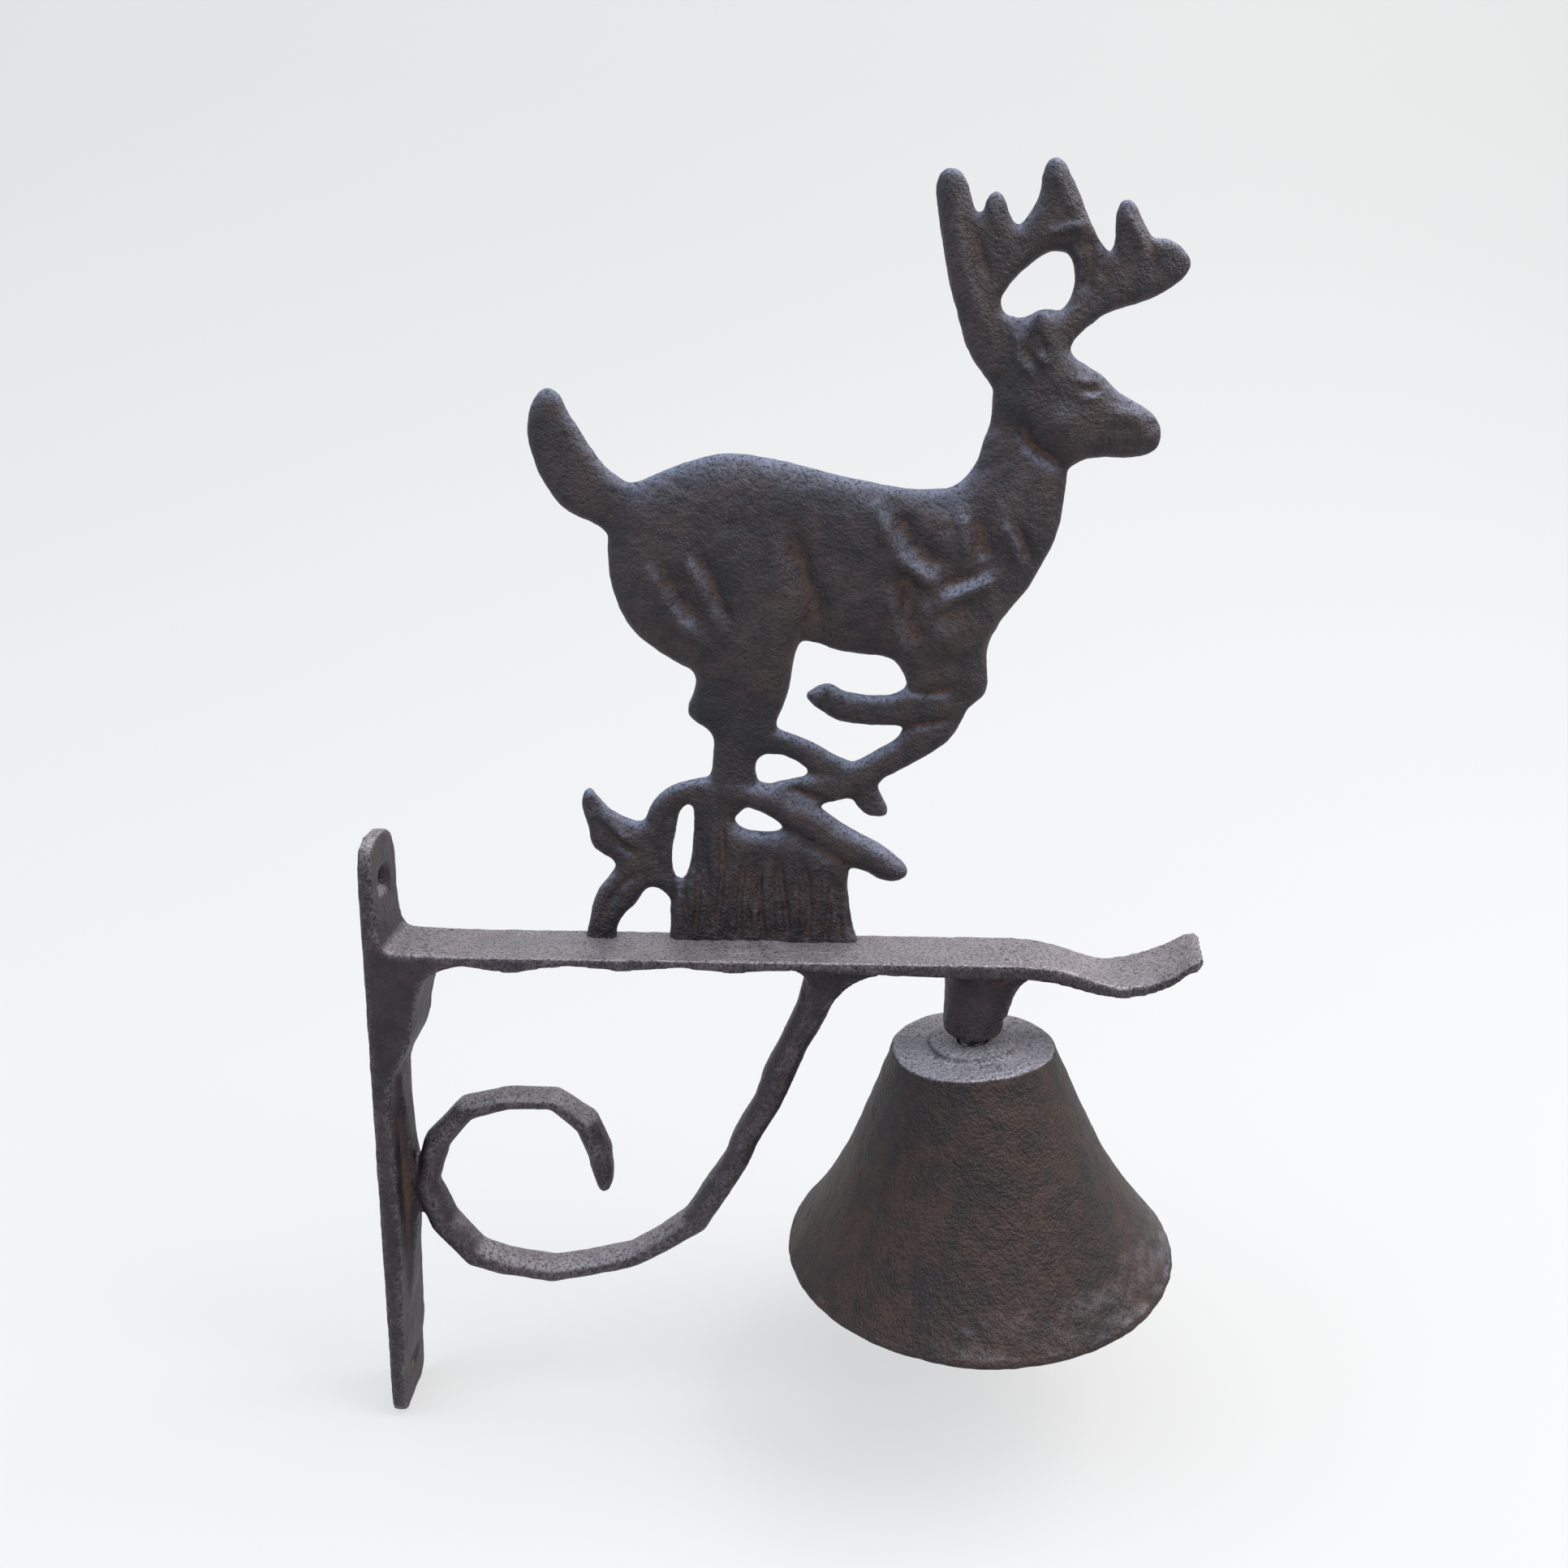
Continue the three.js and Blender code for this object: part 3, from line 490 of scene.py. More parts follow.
# %% Lumps, hollows and crests
def roughen(obj, lump, size, seed=0.0):
    """Moves each point along its normal by soft noise: lump in mm, size of the lumps in mm."""
    co = points_of(obj)
    no = normals_of(obj)
    shift = Vector((seed, seed * 2.3, -seed))
    amount = np.array([noise.noise(Vector(p) / size + shift)
                       + 0.5 * noise.noise(Vector(p) / size * 2.7 + shift) for p in co])
    set_points(obj, co + no * (lump * amount)[:, None])


def mark_relief(obj, spread=10, gain=1.0):
    """Writes the attributes hollow and crest, from the mesh's own curvature in mm."""
    co = points_of(obj)
    no = normals_of(obj)
    edges = np.empty(len(obj.data.edges) * 2, int)
    obj.data.edges.foreach_get("vertices", edges)
    a, b = edges.reshape(-1, 2).T
    count = np.bincount(np.r_[a, b], minlength=len(co)).astype(float)

    def average(values):
        total = np.zeros_like(values)
        np.add.at(total, a, values[b])
        np.add.at(total, b, values[a])
        return total / (count[:, None] if values.ndim > 1 else count)

    soft = co
    for _ in range(spread):
        soft = average(soft)
    bend = ((soft - co) * no).sum(1) * gain
    for name, value in (("hollow", bend), ("crest", -bend)):
        layer = obj.data.attributes.new(name, "FLOAT", "POINT")
        layer.data.foreach_set("value", np.clip(value, 0, 1).astype(np.float32))
    print(obj.name, "bend from", round(bend.min(), 2), "to", round(bend.max(), 2), "mm")


# %% [markdown]
# ## A relief at the back of the arm
# The figure isn't centred on the arm. It is cast in relief against a flat back that is level
# with the arm's back edge, so the arm's top shows as a ledge in front of the feet. The
# outlines are drawn on the bracket's mid-plane, so the figure grows a little as it moves back,
# about the point that it is seen from. The feet are sunk in the arm, as one casting has them.

# %% Make the stag
FIGURE_X = 87.7
FIGURE_MIDDLE = 6.0
FIGURE_SIZE = 1.0231
FIGURE_DROP = 2.38
BACK_DEPTH = 3.0
BACK_EASE = 2.8
FOOT_LEVEL = -1.6


def stand_at_back(obj):
    """Moves the figure to the back of the arm, flattens its back and sinks its feet."""
    co = points_of(obj)
    behind = co[:, 1] > 0
    co[behind, 1] = BACK_DEPTH * np.tanh(co[behind, 1] / BACK_EASE)
    co[:, 0] = FIGURE_X + (co[:, 0] - FIGURE_X) * FIGURE_SIZE
    co[:, 1] += FIGURE_MIDDLE
    co[:, 2] = np.maximum(co[:, 2] * FIGURE_SIZE - FIGURE_DROP, FOOT_LEVEL)
    set_points(obj, co)


def stag_figure():
    parts = stag_trunk() + stag_antlers() + stag_legs() + stag_ground()
    stag = remesh(join("stag_casting", parts), 0.6, smooth=5)
    carve(stag, STAG_LINES + bark_lines())
    stand_at_back(stag)
    stag = remesh(stag, 0.55, smooth=3)
    roughen(stag, 0.12, 2.6)
    roughen(stag, 0.10, 6.0, seed=4.0)
    mark_relief(stag)
    return stag


stag = to_frame(stag_figure())
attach(stag, "bracket")
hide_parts("stag_tail", "stag_torso", "stag_neck", "stag_head", "rear_antler",
            "front_antler", "planted_hind_leg", "trailing_hind_leg", "front_upper_leg",
            "folded_front_leg", "reaching_front_leg", "fallen_limb", "tree_stump", "leaf_branch")
print("stag:", len(stag.data.polygons), "faces")

# %% [markdown]
# ## The bracket casting
# The rest of the big casting is plain: a plate, a flat arm with a curled end, wavy ribs that
# look hand carved, and a brace like a hammered bar rolled into a scroll. The pattern maker
# rounded every inside corner, so the pieces are made one by one and then joined by a remesh
# whose smoothing leaves those fillets.

# %% Wall plate
def apply_tool(obj, tool, operation):
    """Cuts or joins one object with another, and removes the tool."""
    knife = obj.modifiers.new("tool", "BOOLEAN")
    knife.operation = operation
    knife.object = tool
    apply_modifiers(obj)
    bpy.data.objects.remove(tool)
    return obj


def wall_plate():
    """The flat bar against the wall, its ends rounded and its two screw holes countersunk."""
    bm = bmesh.new()
    bmesh.ops.create_cube(bm, size=1)
    bmesh.ops.scale(bm, vec=(PLATE_FACE, 2 * ARM_HALF, PLATE_TOP - PLATE_BOTTOM), verts=bm.verts)
    along = [e for e in bm.edges if abs(e.verts[0].co.x - e.verts[1].co.x) > 1]
    for above, offset, segments in ((True, 7.0, 5), (False, 4.5, 8)):
        ends = [e for e in along if e.is_valid and (e.verts[0].co.z > 0) == above]
        bmesh.ops.bevel(bm, geom=ends, offset=offset, segments=segments, affect="EDGES",
                        profile=0.5, material=-1)
    middle = (PLATE_TOP + PLATE_BOTTOM) / 2
    bmesh.ops.translate(bm, vec=(PLATE_FACE / 2, 0, middle), verts=bm.verts)
    plate = new_object("plate", bm)
    for z in (PLATE_TOP - 11.5, PLATE_BOTTOM + 11.5):
        for low, wide, tall, at in ((2.4, 2.4, 8, 1.5), (2.3, 4.6, 2.3, PLATE_FACE - 1.1)):
            bm = bmesh.new()
            turn = Matrix.Translation((at, 0, z)) @ Matrix.Rotation(math.pi / 2, 4, "Y")
            bmesh.ops.create_cone(bm, cap_ends=True, segments=40, radius1=low, radius2=wide,
                                  depth=tall, matrix=turn)
            apply_tool(plate, new_object("drill", bm), "DIFFERENCE")
    return plate


# %% Arm, ribs and boss
def bar_of(name, points, half, steps=4):
    """A flat piece: a smooth outline in x and z, with a half width along y."""
    return new_object(name, slab(smooth_loop(points, steps), half))


ARM_LOW = [(101, -2.4), (94, -1.9), (87, -2.3), (80, -2.9), (74, -2.3), (68.3, -1.9),
           (61, -2.4), (55, -2.9), (50, -2.3), (45, -1.9), (40, -2.2), (35, -3.0), (30.8, -3.5),
           (26, -2.9), (21.7, -2.4), (16, -2.8), (8, -3), (1.5, -3)]
ARM_CURL = [(150, -0.4), (155, -1.5), (160, -3.2), (165, -4.5), (169, -4.3), (173.3, -3.3),
            (177.5, -1.9), (181, -0.4), (184, 1.3), (186.2, 2.2), (187.2, 1.9), (187.4, 0.9),
            (186.6, -0.4), (183.3, -1.4), (180, -3.3), (175, -5.4), (170, -6.9), (165.8, -7.3),
            (160, -6.4), (155, -5), (150, -3.9), (145, -3.4), (130, -3.1), (115, -2.9)]
ARM_RIB = [(99, -1), (101, -4.2), (94, -4.3), (87, -4.7), (80, -5.2), (74, -4.6), (68.3, -4.2),
           (61, -4.7), (55, -5.2), (50, -4.6), (45, -4.2), (40, -4.5), (30.8, -6.0),
           (26, -5.4), (21.7, -4.7), (16, -4.2), (12, -1), (40, -1)]
PLATE_RIB = [(1.2, -26), (4.8, -30), (5.2, -36), (5.8, -42), (6.2, -48), (6.8, -58), (6.6, -68),
             (6.0, -75), (5.0, -84), (3.6, -92), (1.2, -96)]
GUSSET = [(24, -1), (22, -2.0), (19, -2.8), (15.5, -4), (12.6, -6.6), (11.2, -10.5),
          (10.2, -14.5), (9.5, -19), (8.1, -23.4), (6.0, -27), (4.4, -30.5), (4.0, -36.4),
          (4.2, -45), (4.3, -60), (4.3, -78), (3.8, -92), (3.2, -106), (1.2, -111), (1.2, -60),
          (1.2, -10), (3, -1)]


def arm_and_ribs():
    top = [(1.5, 0), (20, 0), (60, 0), (100, 0), (130, 0), (145, 0)]
    arm = bar_of("arm", top + ARM_CURL + ARM_LOW, ARM_HALF)
    co = points_of(arm)
    t = np.clip((co[:, 0] - (ARM_REACH - 3.2)) / 3.2, 0, 1)
    slope = ramp(co[:, 0], 172, ARM_REACH) * (ARM_HALF - co[:, 1]) / (2 * ARM_HALF)
    co[:, 0] -= 3.6 * slope
    co[:, 1] *= 1 - (2.6 / ARM_HALF) * (1 - np.sqrt(1 - t * t))
    set_points(arm, co)
    fillet = [(1.2, -1), (1.2, 12), (2.9, 11), (3.5, 5), (4.4, 2), (6.6, 0.2), (9, -1)]
    return [arm, bar_of("arm rib", ARM_RIB, 3.6), bar_of("plate rib", PLATE_RIB, 3.2),
            bar_of("gusset", GUSSET, ARM_HALF - 0.3), bar_of("fillet", fillet, ARM_HALF - 0.3)]


BOSS_RADIUS = 6.9
BOSS_LOW = -19.8


def turned(name, profile, steps=64, axis=(0, 0, 1)):
    """Spins a closed or axis-to-axis profile of (radius, z) into a solid."""
    bm = bmesh.new()
    verts = [bm.verts.new((r, 0, z)) for r, z in profile]
    edges = [bm.edges.new(pair) for pair in zip(verts[:-1], verts[1:])]
    bmesh.ops.spin(bm, geom=verts + edges, cent=(0, 0, 0), axis=axis, angle=2 * math.pi,
                   steps=steps, use_merge=True)
    bmesh.ops.remove_doubles(bm, verts=bm.verts, dist=1e-5)
    return new_object(name, bm)


def boss():
    """The boss under the arm, turned, with a wide web towards the arm's free end."""
    r = BOSS_RADIUS
    profile = [(0, -1), (r + 5, -1), (r + 3.2, -3.0), (r + 1.0, -4.2), (r + 0.2, -6), (r, -10),
               (r - 0.2, BOSS_LOW + 1.3), (r - 0.8, BOSS_LOW + 0.4), (r - 2, BOSS_LOW),
               (0, BOSS_LOW)]
    post = turned("boss", profile, 48)
    post.data.transform(Matrix.Translation((BELL_PLACE.x - 0.2, 0, 0)))
    co = points_of(post)
    inset = 0.6
    co[:, 1] = np.clip(co[:, 1], inset - ARM_HALF, ARM_HALF - inset)
    set_points(post, co)
    right = BELL_PLACE.x + r
    web = bar_of("web", [(right - 8, -1), (right + 12, -1), (right + 8.4, -3.2),
                         (right + 4.4, -4.6), (right + 1.8, -7), (right + 0.4, -10.4),
                         (right - 0.6, -14), (right - 8, -15)], 5.4)
    return [post, web]


# %% [markdown]
# ## The brace
# The brace was a bar beaten to shape over an anvil: short straight runs with a kink between
# them, flats along its length and soft edges. One eight-sided ring stands at each kink, square
# to the bend, and the rings are bridged.

# %% Brace
BRACE = [(101.5, -1, 11.0), (101, -5, 8.5), (98.5, -14, 7.3), (94, -24, 6.5), (91, -31, 7.2),
         (88.5, -38, 6.1), (84, -46.5, 6.2), (81.5, -53, 5.8), (77, -60.5, 6.2),
         (72, -69, 6.2), (65, -74, 5.3), (57.5, -78.6, 5.0), (49, -80.8, 4.6),
         (38.5, -83, 5.0), (27, -81.2, 5.3), (19.5, -78.6, 6.2), (12.5, -70, 6.4),
         (8.7, -60, 6.0), (11.8, -49, 5.9), (19, -40.6, 5.3), (29, -38, 4.1),
         (39.4, -38.1, 4.1), (46.7, -44, 5.5), (49.6, -51, 5.8), (50.4, -57.5, 4.6),
         (50.7, -60.6, 3.3)]


def brace_bar():
    bm = bmesh.new()
    rings = []
    centres = [Vector((x, 0, z)) for x, z, _ in BRACE]
    for i, (x, z, thick) in enumerate(BRACE):
        back = (centres[i] - centres[max(i - 1, 0)]).normalized()
        ahead = (centres[min(i + 1, len(BRACE) - 1)] - centres[i]).normalized()
        along = (back + ahead).normalized()
        across = Vector((along.z, 0, -along.x))
        depth = 8.2 if i < len(BRACE) - 2 else 6.2
        ring = bmesh.ops.create_circle(bm, segments=8, radius=0.5 / math.cos(math.pi / 8))
        place = Matrix((across, Vector((0, 1, 0)), along)).transposed()
        for v in ring["verts"]:
            turned_co = Matrix.Rotation(math.pi / 8, 3, "Z") @ v.co
            v.co = centres[i] + place @ Vector((turned_co.x * thick, turned_co.y * depth, 0))
        rings.append([e for e in bm.edges if all(v in ring["verts"] for v in e.verts)])
    for one, two in zip(rings[:-1], rings[1:]):
        bmesh.ops.bridge_loops(bm, edges=one + two)
    for end in (rings[0], rings[-1]):
        bmesh.ops.contextual_create(bm, geom=end)
    bar = new_object("brace", bm)
    foot = bar_of("foot", [(99, -1), (117.5, -1), (114, -4.4), (109.5, -6.0), (106, -8),
                           (103.4, -11), (101.2, -14.5), (98.4, -19), (96.6, -19), (97.2, -12),
                           (96.8, -6.5), (94.5, -4), (92, -1)], 4.1)
    return [bar, foot]


# %% Join the bracket
def bracket_frame():
    parts = [wall_plate()] + arm_and_ribs() + boss() + brace_bar()
    casting = remesh(join("bracket_casting", parts), 0.72, smooth=4)
    inside = points_of(casting)
    inside[:, 0] = np.clip(inside[:, 0], 0.02, ARM_REACH - 0.02)
    set_points(casting, inside)
    roughen(casting, 0.16, 7.0, seed=3.1)
    roughen(casting, 0.07, 2.2, seed=1.7)
    co = points_of(casting)
    co[:, 0] = np.clip(co[:, 0], 0.0, ARM_REACH)
    co[:, 2] = np.clip(co[:, 2], PLATE_BOTTOM + 0.02, PLATE_TOP - 0.02)
    set_points(casting, co)
    mark_relief(casting)
    return casting


bracket = to_frame(bracket_frame())
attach(bracket, "bracket")
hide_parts("wall_plate", "bracket_arm", "arm_rib", "arm_gusset", "plate_rib",
            "scroll_brace", "hanger_boss")
print("bracket:", len(bracket.data.polygons), "faces")

# %% [markdown]
# ## The bell
# A bell is a turned shape, so its half section is spun once round. The outside flares slowly
# and then opens at the lip, the wall is thickest there, and the crown is a flat disc with a
# worn pad. The sand's unevenness comes from the same noise as the bracket's.

# %% Bell
BELL_SECTION = [(3.6, 1.0), (6, 1.05), (8.4, 1.0), (9.5, 0.9), (10.3, 0.3), (11.2, -0.15),
                (13, -0.25), (15.5, -0.15), (17.5, -0.15), (18.3, -0.35), (18.75, -0.95), (19.1, -2.1),
                (19.8, -4), (21.2, -7.2), (23.4, -12.8), (26.1, -19), (29, -25.5),
                (32, -31.4), (35, -36.7), (38.2, -41.6), (41.4, -45.8), (43.6, -48.6),
                (44.7, -50.0), (44.75, -50.6), (44.3, -51.0), (43, -50.9), (41.4, -50.2),
                (39.8, -48.6), (37.4, -45.4), (34.4, -41.4), (31.2, -36.4), (28, -30.6),
                (25, -24.6), (22, -18), (19.4, -11.8), (17, -7), (15.6, -4.9), (13.6, -3.7),
                (9, -3.45), (6, -3.4), (3.6, -3.4)]


def bell_casting():
    section = smooth_loop(BELL_SECTION, 4)
    bell = turned("bell_casting", [tuple(p) for p in section] + [tuple(section[0])], 220)
    bm = bmesh.new()
    bm.from_mesh(bell.data)
    long = [e for e in bm.edges if e.calc_length() > 1.1]
    bmesh.ops.subdivide_edges(bm, edges=long, cuts=1, use_grid_fill=True)
    bm.to_mesh(bell.data)
    bm.free()
    co = points_of(bell)
    r = np.hypot(co[:, 0], co[:, 1])
    turn = np.arctan2(co[:, 1], co[:, 0])
    crown = ramp(co[:, 2], -1.5, -0.1) * ramp(r, 8, 10)
    lobe = np.exp(-(np.abs(np.angle(np.exp(1j * (turn + 1.15)))) / 0.6) ** 2)
    co[:, 2] += 0.55 * crown * lobe
    co[:, 2] -= 0.5 * crown * np.exp(-((turn + 2.5) / 0.5) ** 2)
    set_points(bell, co)
    hold = points_of(bell)
    roughen(bell, 0.22, 9.0, seed=7.0)
    roughen(bell, 0.10, 2.4, seed=2.0)
    co = points_of(bell)
    co = np.where((r < 5.5)[:, None], hold, co)
    r_now = np.hypot(co[:, 0], co[:, 1])
    shrink = np.minimum(1, 44.95 / r_now)
    co[:, :2] *= shrink[:, None]
    co[:, 2] = np.maximum(co[:, 2], -51.0)
    set_points(bell, co)
    mark_relief(bell)
    return bell


def hang_on_bolt(obj):
    """Takes a piece drawn about the bolt, its crown at z = 0, to the leaning bolt's place."""
    lean = Matrix.Translation(BELL_PLACE) @ Matrix.Rotation(-LEAN, 4, "Y")
    obj.data.transform(Matrix.Scale(MM, 4) @ lean)
    return obj


bell = hang_on_bolt(bell_casting())
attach(bell, "bell")
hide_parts("bell_cup")
print("bell:", len(bell.data.polygons), "faces")

# %% [markdown]
# ## Bolt, washer, nut, link and clapper
# Under the crown are plain store-bought pieces: a threaded stud with an eye bent on its end, a
# washer, a hexagon nut, one chain link, and a rod with an eye that carries a cast ball.

# %% Hardware
def ring_of_wire(name, radius, wire, axis):
    """A closed ring of round wire in the plane that the axis stands on."""
    bm = bmesh.new()
    turn = Matrix.Translation((radius, 0, 0)) @ Matrix.Rotation(math.pi / 2, 4, "X")
    circle = bmesh.ops.create_circle(bm, segments=20, radius=wire / 2, matrix=turn)
    bmesh.ops.spin(bm, geom=circle["verts"] + bm.edges[:], cent=(0, 0, 0), axis=(0, 0, 1),
                   angle=2 * math.pi, steps=56, use_merge=True)
    bmesh.ops.rotate(bm, verts=bm.verts, cent=(0, 0, 0),
                     matrix=Vector((0, 0, 1)).rotation_difference(Vector(axis)).to_matrix())
    return new_object(name, bm)


def threaded(low, high, radius, pitch=1.0, depth=0.45):
    """The half section of a stud: rounded crests and roots up its length."""
    section = [(0, low)]
    steps = int((high - low) / pitch * 6)
    for k in range(steps + 1):
        z = low + (high - low) * k / steps
        section.append((radius - depth * (0.5 + 0.5 * math.cos(2 * math.pi * z / pitch)), z))
    section.append((0, high))
    return section


STUD_RADIUS = 3.0
EYE_Z = -15.1
EYE_RADIUS, EYE_WIRE = 3.2, 2.4
UPPER_PIN = Vector(JOINTS["link_swing"]["pos_m"]) / MM
BALL = (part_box("clapper_ball")[0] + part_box("clapper_ball")[1]) / 2 / MM
BALL_RADIUS = (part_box("clapper_ball")[1].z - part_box("clapper_ball")[0].z) / 2 / MM


def hanger_bolt():
    stud = turned("hanger_bolt_fine", threaded(EYE_Z + EYE_RADIUS - 0.2, 5.6, STUD_RADIUS), 32)
    eye = ring_of_wire("eye", EYE_RADIUS, EYE_WIRE, (0, 1, 0))
    eye.data.transform(Matrix.Translation((0, 0, EYE_Z)))
    bolt = join("hanger_bolt_fine", [stud, eye])
    return hang_on_bolt(bolt)


def washer():
    ring = [(3.35, -3.85), (3.5, -3.72), (8.8, -3.72), (9, -3.9), (9, -4.95), (8.8, -5.08),
            (3.5, -5.08), (3.35, -4.95), (3.35, -3.85)]
    return hang_on_bolt(turned("seat_washer_fine", ring, 64))


def nut():
    bm = bmesh.new()
    bmesh.ops.create_cone(bm, cap_ends=True, segments=6, radius1=5.77, radius2=5.77, depth=5)
    block = new_object("hanger_nut_fine", bm)
    round_off = turned("chamfer", [(0, -2.5), (4.9, -2.5), (5.8, -2.0), (5.8, 2.0), (4.9, 2.5),
                                   (0, 2.5)], 48)
    apply_tool(block, round_off, "INTERSECT")
    apply_tool(block, turned("bore", [(0, -4), (3.3, -4), (3.3, 4), (0, 4)], 40), "DIFFERENCE")
    block.data.transform(Matrix.Translation((0, 0, -7.9)))
    return hang_on_bolt(block)


def chain_link():
    link = ring_of_wire("clapper_link_fine", 3.3, 1.9, (1, 0, 0))
    co = points_of(link)
    co[:, 2] += 1.4 * np.sign(co[:, 2]) * ramp(np.abs(co[:, 2]), 0.0, 0.35)
    set_points(link, co)
    shift = UPPER_PIN - Vector((0, 0, 4.7))
    link.data.transform(Matrix.Scale(MM, 4) @ Matrix.Translation(shift))
    return link


def clapper_rod():
    eye_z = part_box("clapper_rod")[1].z / MM - EYE_RADIUS - EYE_WIRE / 2
    ring = ring_of_wire("eye", EYE_RADIUS, EYE_WIRE, (0, 1, 0))
    ring.data.transform(Matrix.Translation((BALL.x, 0, eye_z)))
    low = BALL.z + BALL_RADIUS - 0.2
    high = eye_z - EYE_RADIUS + 0.3
    rod = turned("rod", [(0, low), (1.9, low), (1.7, low + 0.8), (1.65, high - 0.6),
                         (1.4, high), (0, high)], 32)
    rod.data.transform(Matrix.Translation((BALL.x, 0, 0)))
    piece = join("clapper_rod_fine", [ring, rod])
    piece.data.transform(Matrix.Scale(MM, 4))
    return piece


def clapper_ball():
    bm = bmesh.new()
    bmesh.ops.create_icosphere(bm, subdivisions=5, radius=BALL_RADIUS - 0.12)
    ball = new_object("clapper_ball_fine", bm)
    co = points_of(ball)
    no = normals_of(ball)
    seam = np.exp(-(co[:, 0] / 0.5) ** 2)
    set_points(ball, co + no * (0.10 * seam)[:, None])
    roughen(ball, 0.05, 2.6, seed=5.0)
    mark_relief(ball, spread=4)
    ball.data.transform(Matrix.Scale(MM, 4) @ Matrix.Translation(BALL))
    return ball


HARDWARE = [(hanger_bolt(), "bracket", "hanger_bolt"), (washer(), "bracket", "seat_washer"),
            (nut(), "bracket", "hanger_nut"), (chain_link(), "link", "clapper_link"),
            (clapper_rod(), "clapper", "clapper_rod")]
for piece, body, node in HARDWARE:
    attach(piece, body)
    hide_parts(node)
ball = clapper_ball()
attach(ball, "clapper")
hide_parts("clapper_ball")
print("hardware:", [piece.name for piece, _, _ in HARDWARE])

# %% [markdown]
# ## Shader maths
# A material here is mostly sums of masks, so a socket is wrapped in a small class and the
# usual signs build the Math nodes. Everything else comes from one node-making method.

# %% The socket wrapper
class Wire:
    """A socket that can be added, subtracted, multiplied and raised to a power."""

    def __init__(self, tree, socket):
        self.tree = tree
        self.socket = socket

    def math(self, operation, *others):
        return make(self.tree, "ShaderNodeMath", {"operation": operation},
                    dict(enumerate([self, *others])))

    def __add__(self, other):
        return self.math("ADD", other)

    def __mul__(self, other):
        return self.math("MULTIPLY", other)

    def __sub__(self, other):
        return self.math("SUBTRACT", other)

    def __rsub__(self, other):
        return (self * -1.0) + other

    def __pow__(self, other):
        return self.math("POWER", other)

    __radd__ = __add__
    __rmul__ = __mul__


def make(tree, kind, settings, inputs, output=0):
    """One node: its type, then its settings, then the values or links of its sockets."""
    node = tree.nodes.new(kind)
    for key, value in settings.items():
        setattr(node, key, value)
    for key, value in inputs.items():
        if isinstance(value, Wire):
            tree.links.new(value.socket, node.inputs[key])
        else:
            node.inputs[key].default_value = value
    return Wire(tree, node.outputs[output])


def band(value, low, high):
    """0 to 1 as the value goes from low to high, smoothly."""
    return make(value.tree, "ShaderNodeMapRange", {"interpolation_type": "SMOOTHSTEP"},
                {"Value": value, "From Min": low, "From Max": high})


def blend(factor, one, two):
    """A colour between two, by a mask."""
    tree = factor.tree
    return make(tree, "ShaderNodeMix", {"data_type": "RGBA"},
                {"Factor": factor, 6: one, 7: two}, 2)


def speckle(tree, place, size, detail=2.0, rough=0.5):
    """Noise whose lumps are about size in mm."""
    return make(tree, "ShaderNodeTexNoise", {},
                {"Vector": place, "Scale": 1 / (size * MM), "Detail": detail,
                 "Roughness": rough})


# %% [markdown]
# ## Oxidised cast iron
# The castings are bare iron that has darkened: nearly black brown with a purple cast, browner
# where rust sits in the hollows and grain, and greyer where the crests are worn. Faces that look
# up are painted paler and bluer, partly as dust and partly as a painted sheen from the light above.
# The grain is the moulding sand's, half a millimetre to a millimetre, as bump.

# %% Cast iron
def rgb(r, g, b):
    return (r, g, b, 1.0)


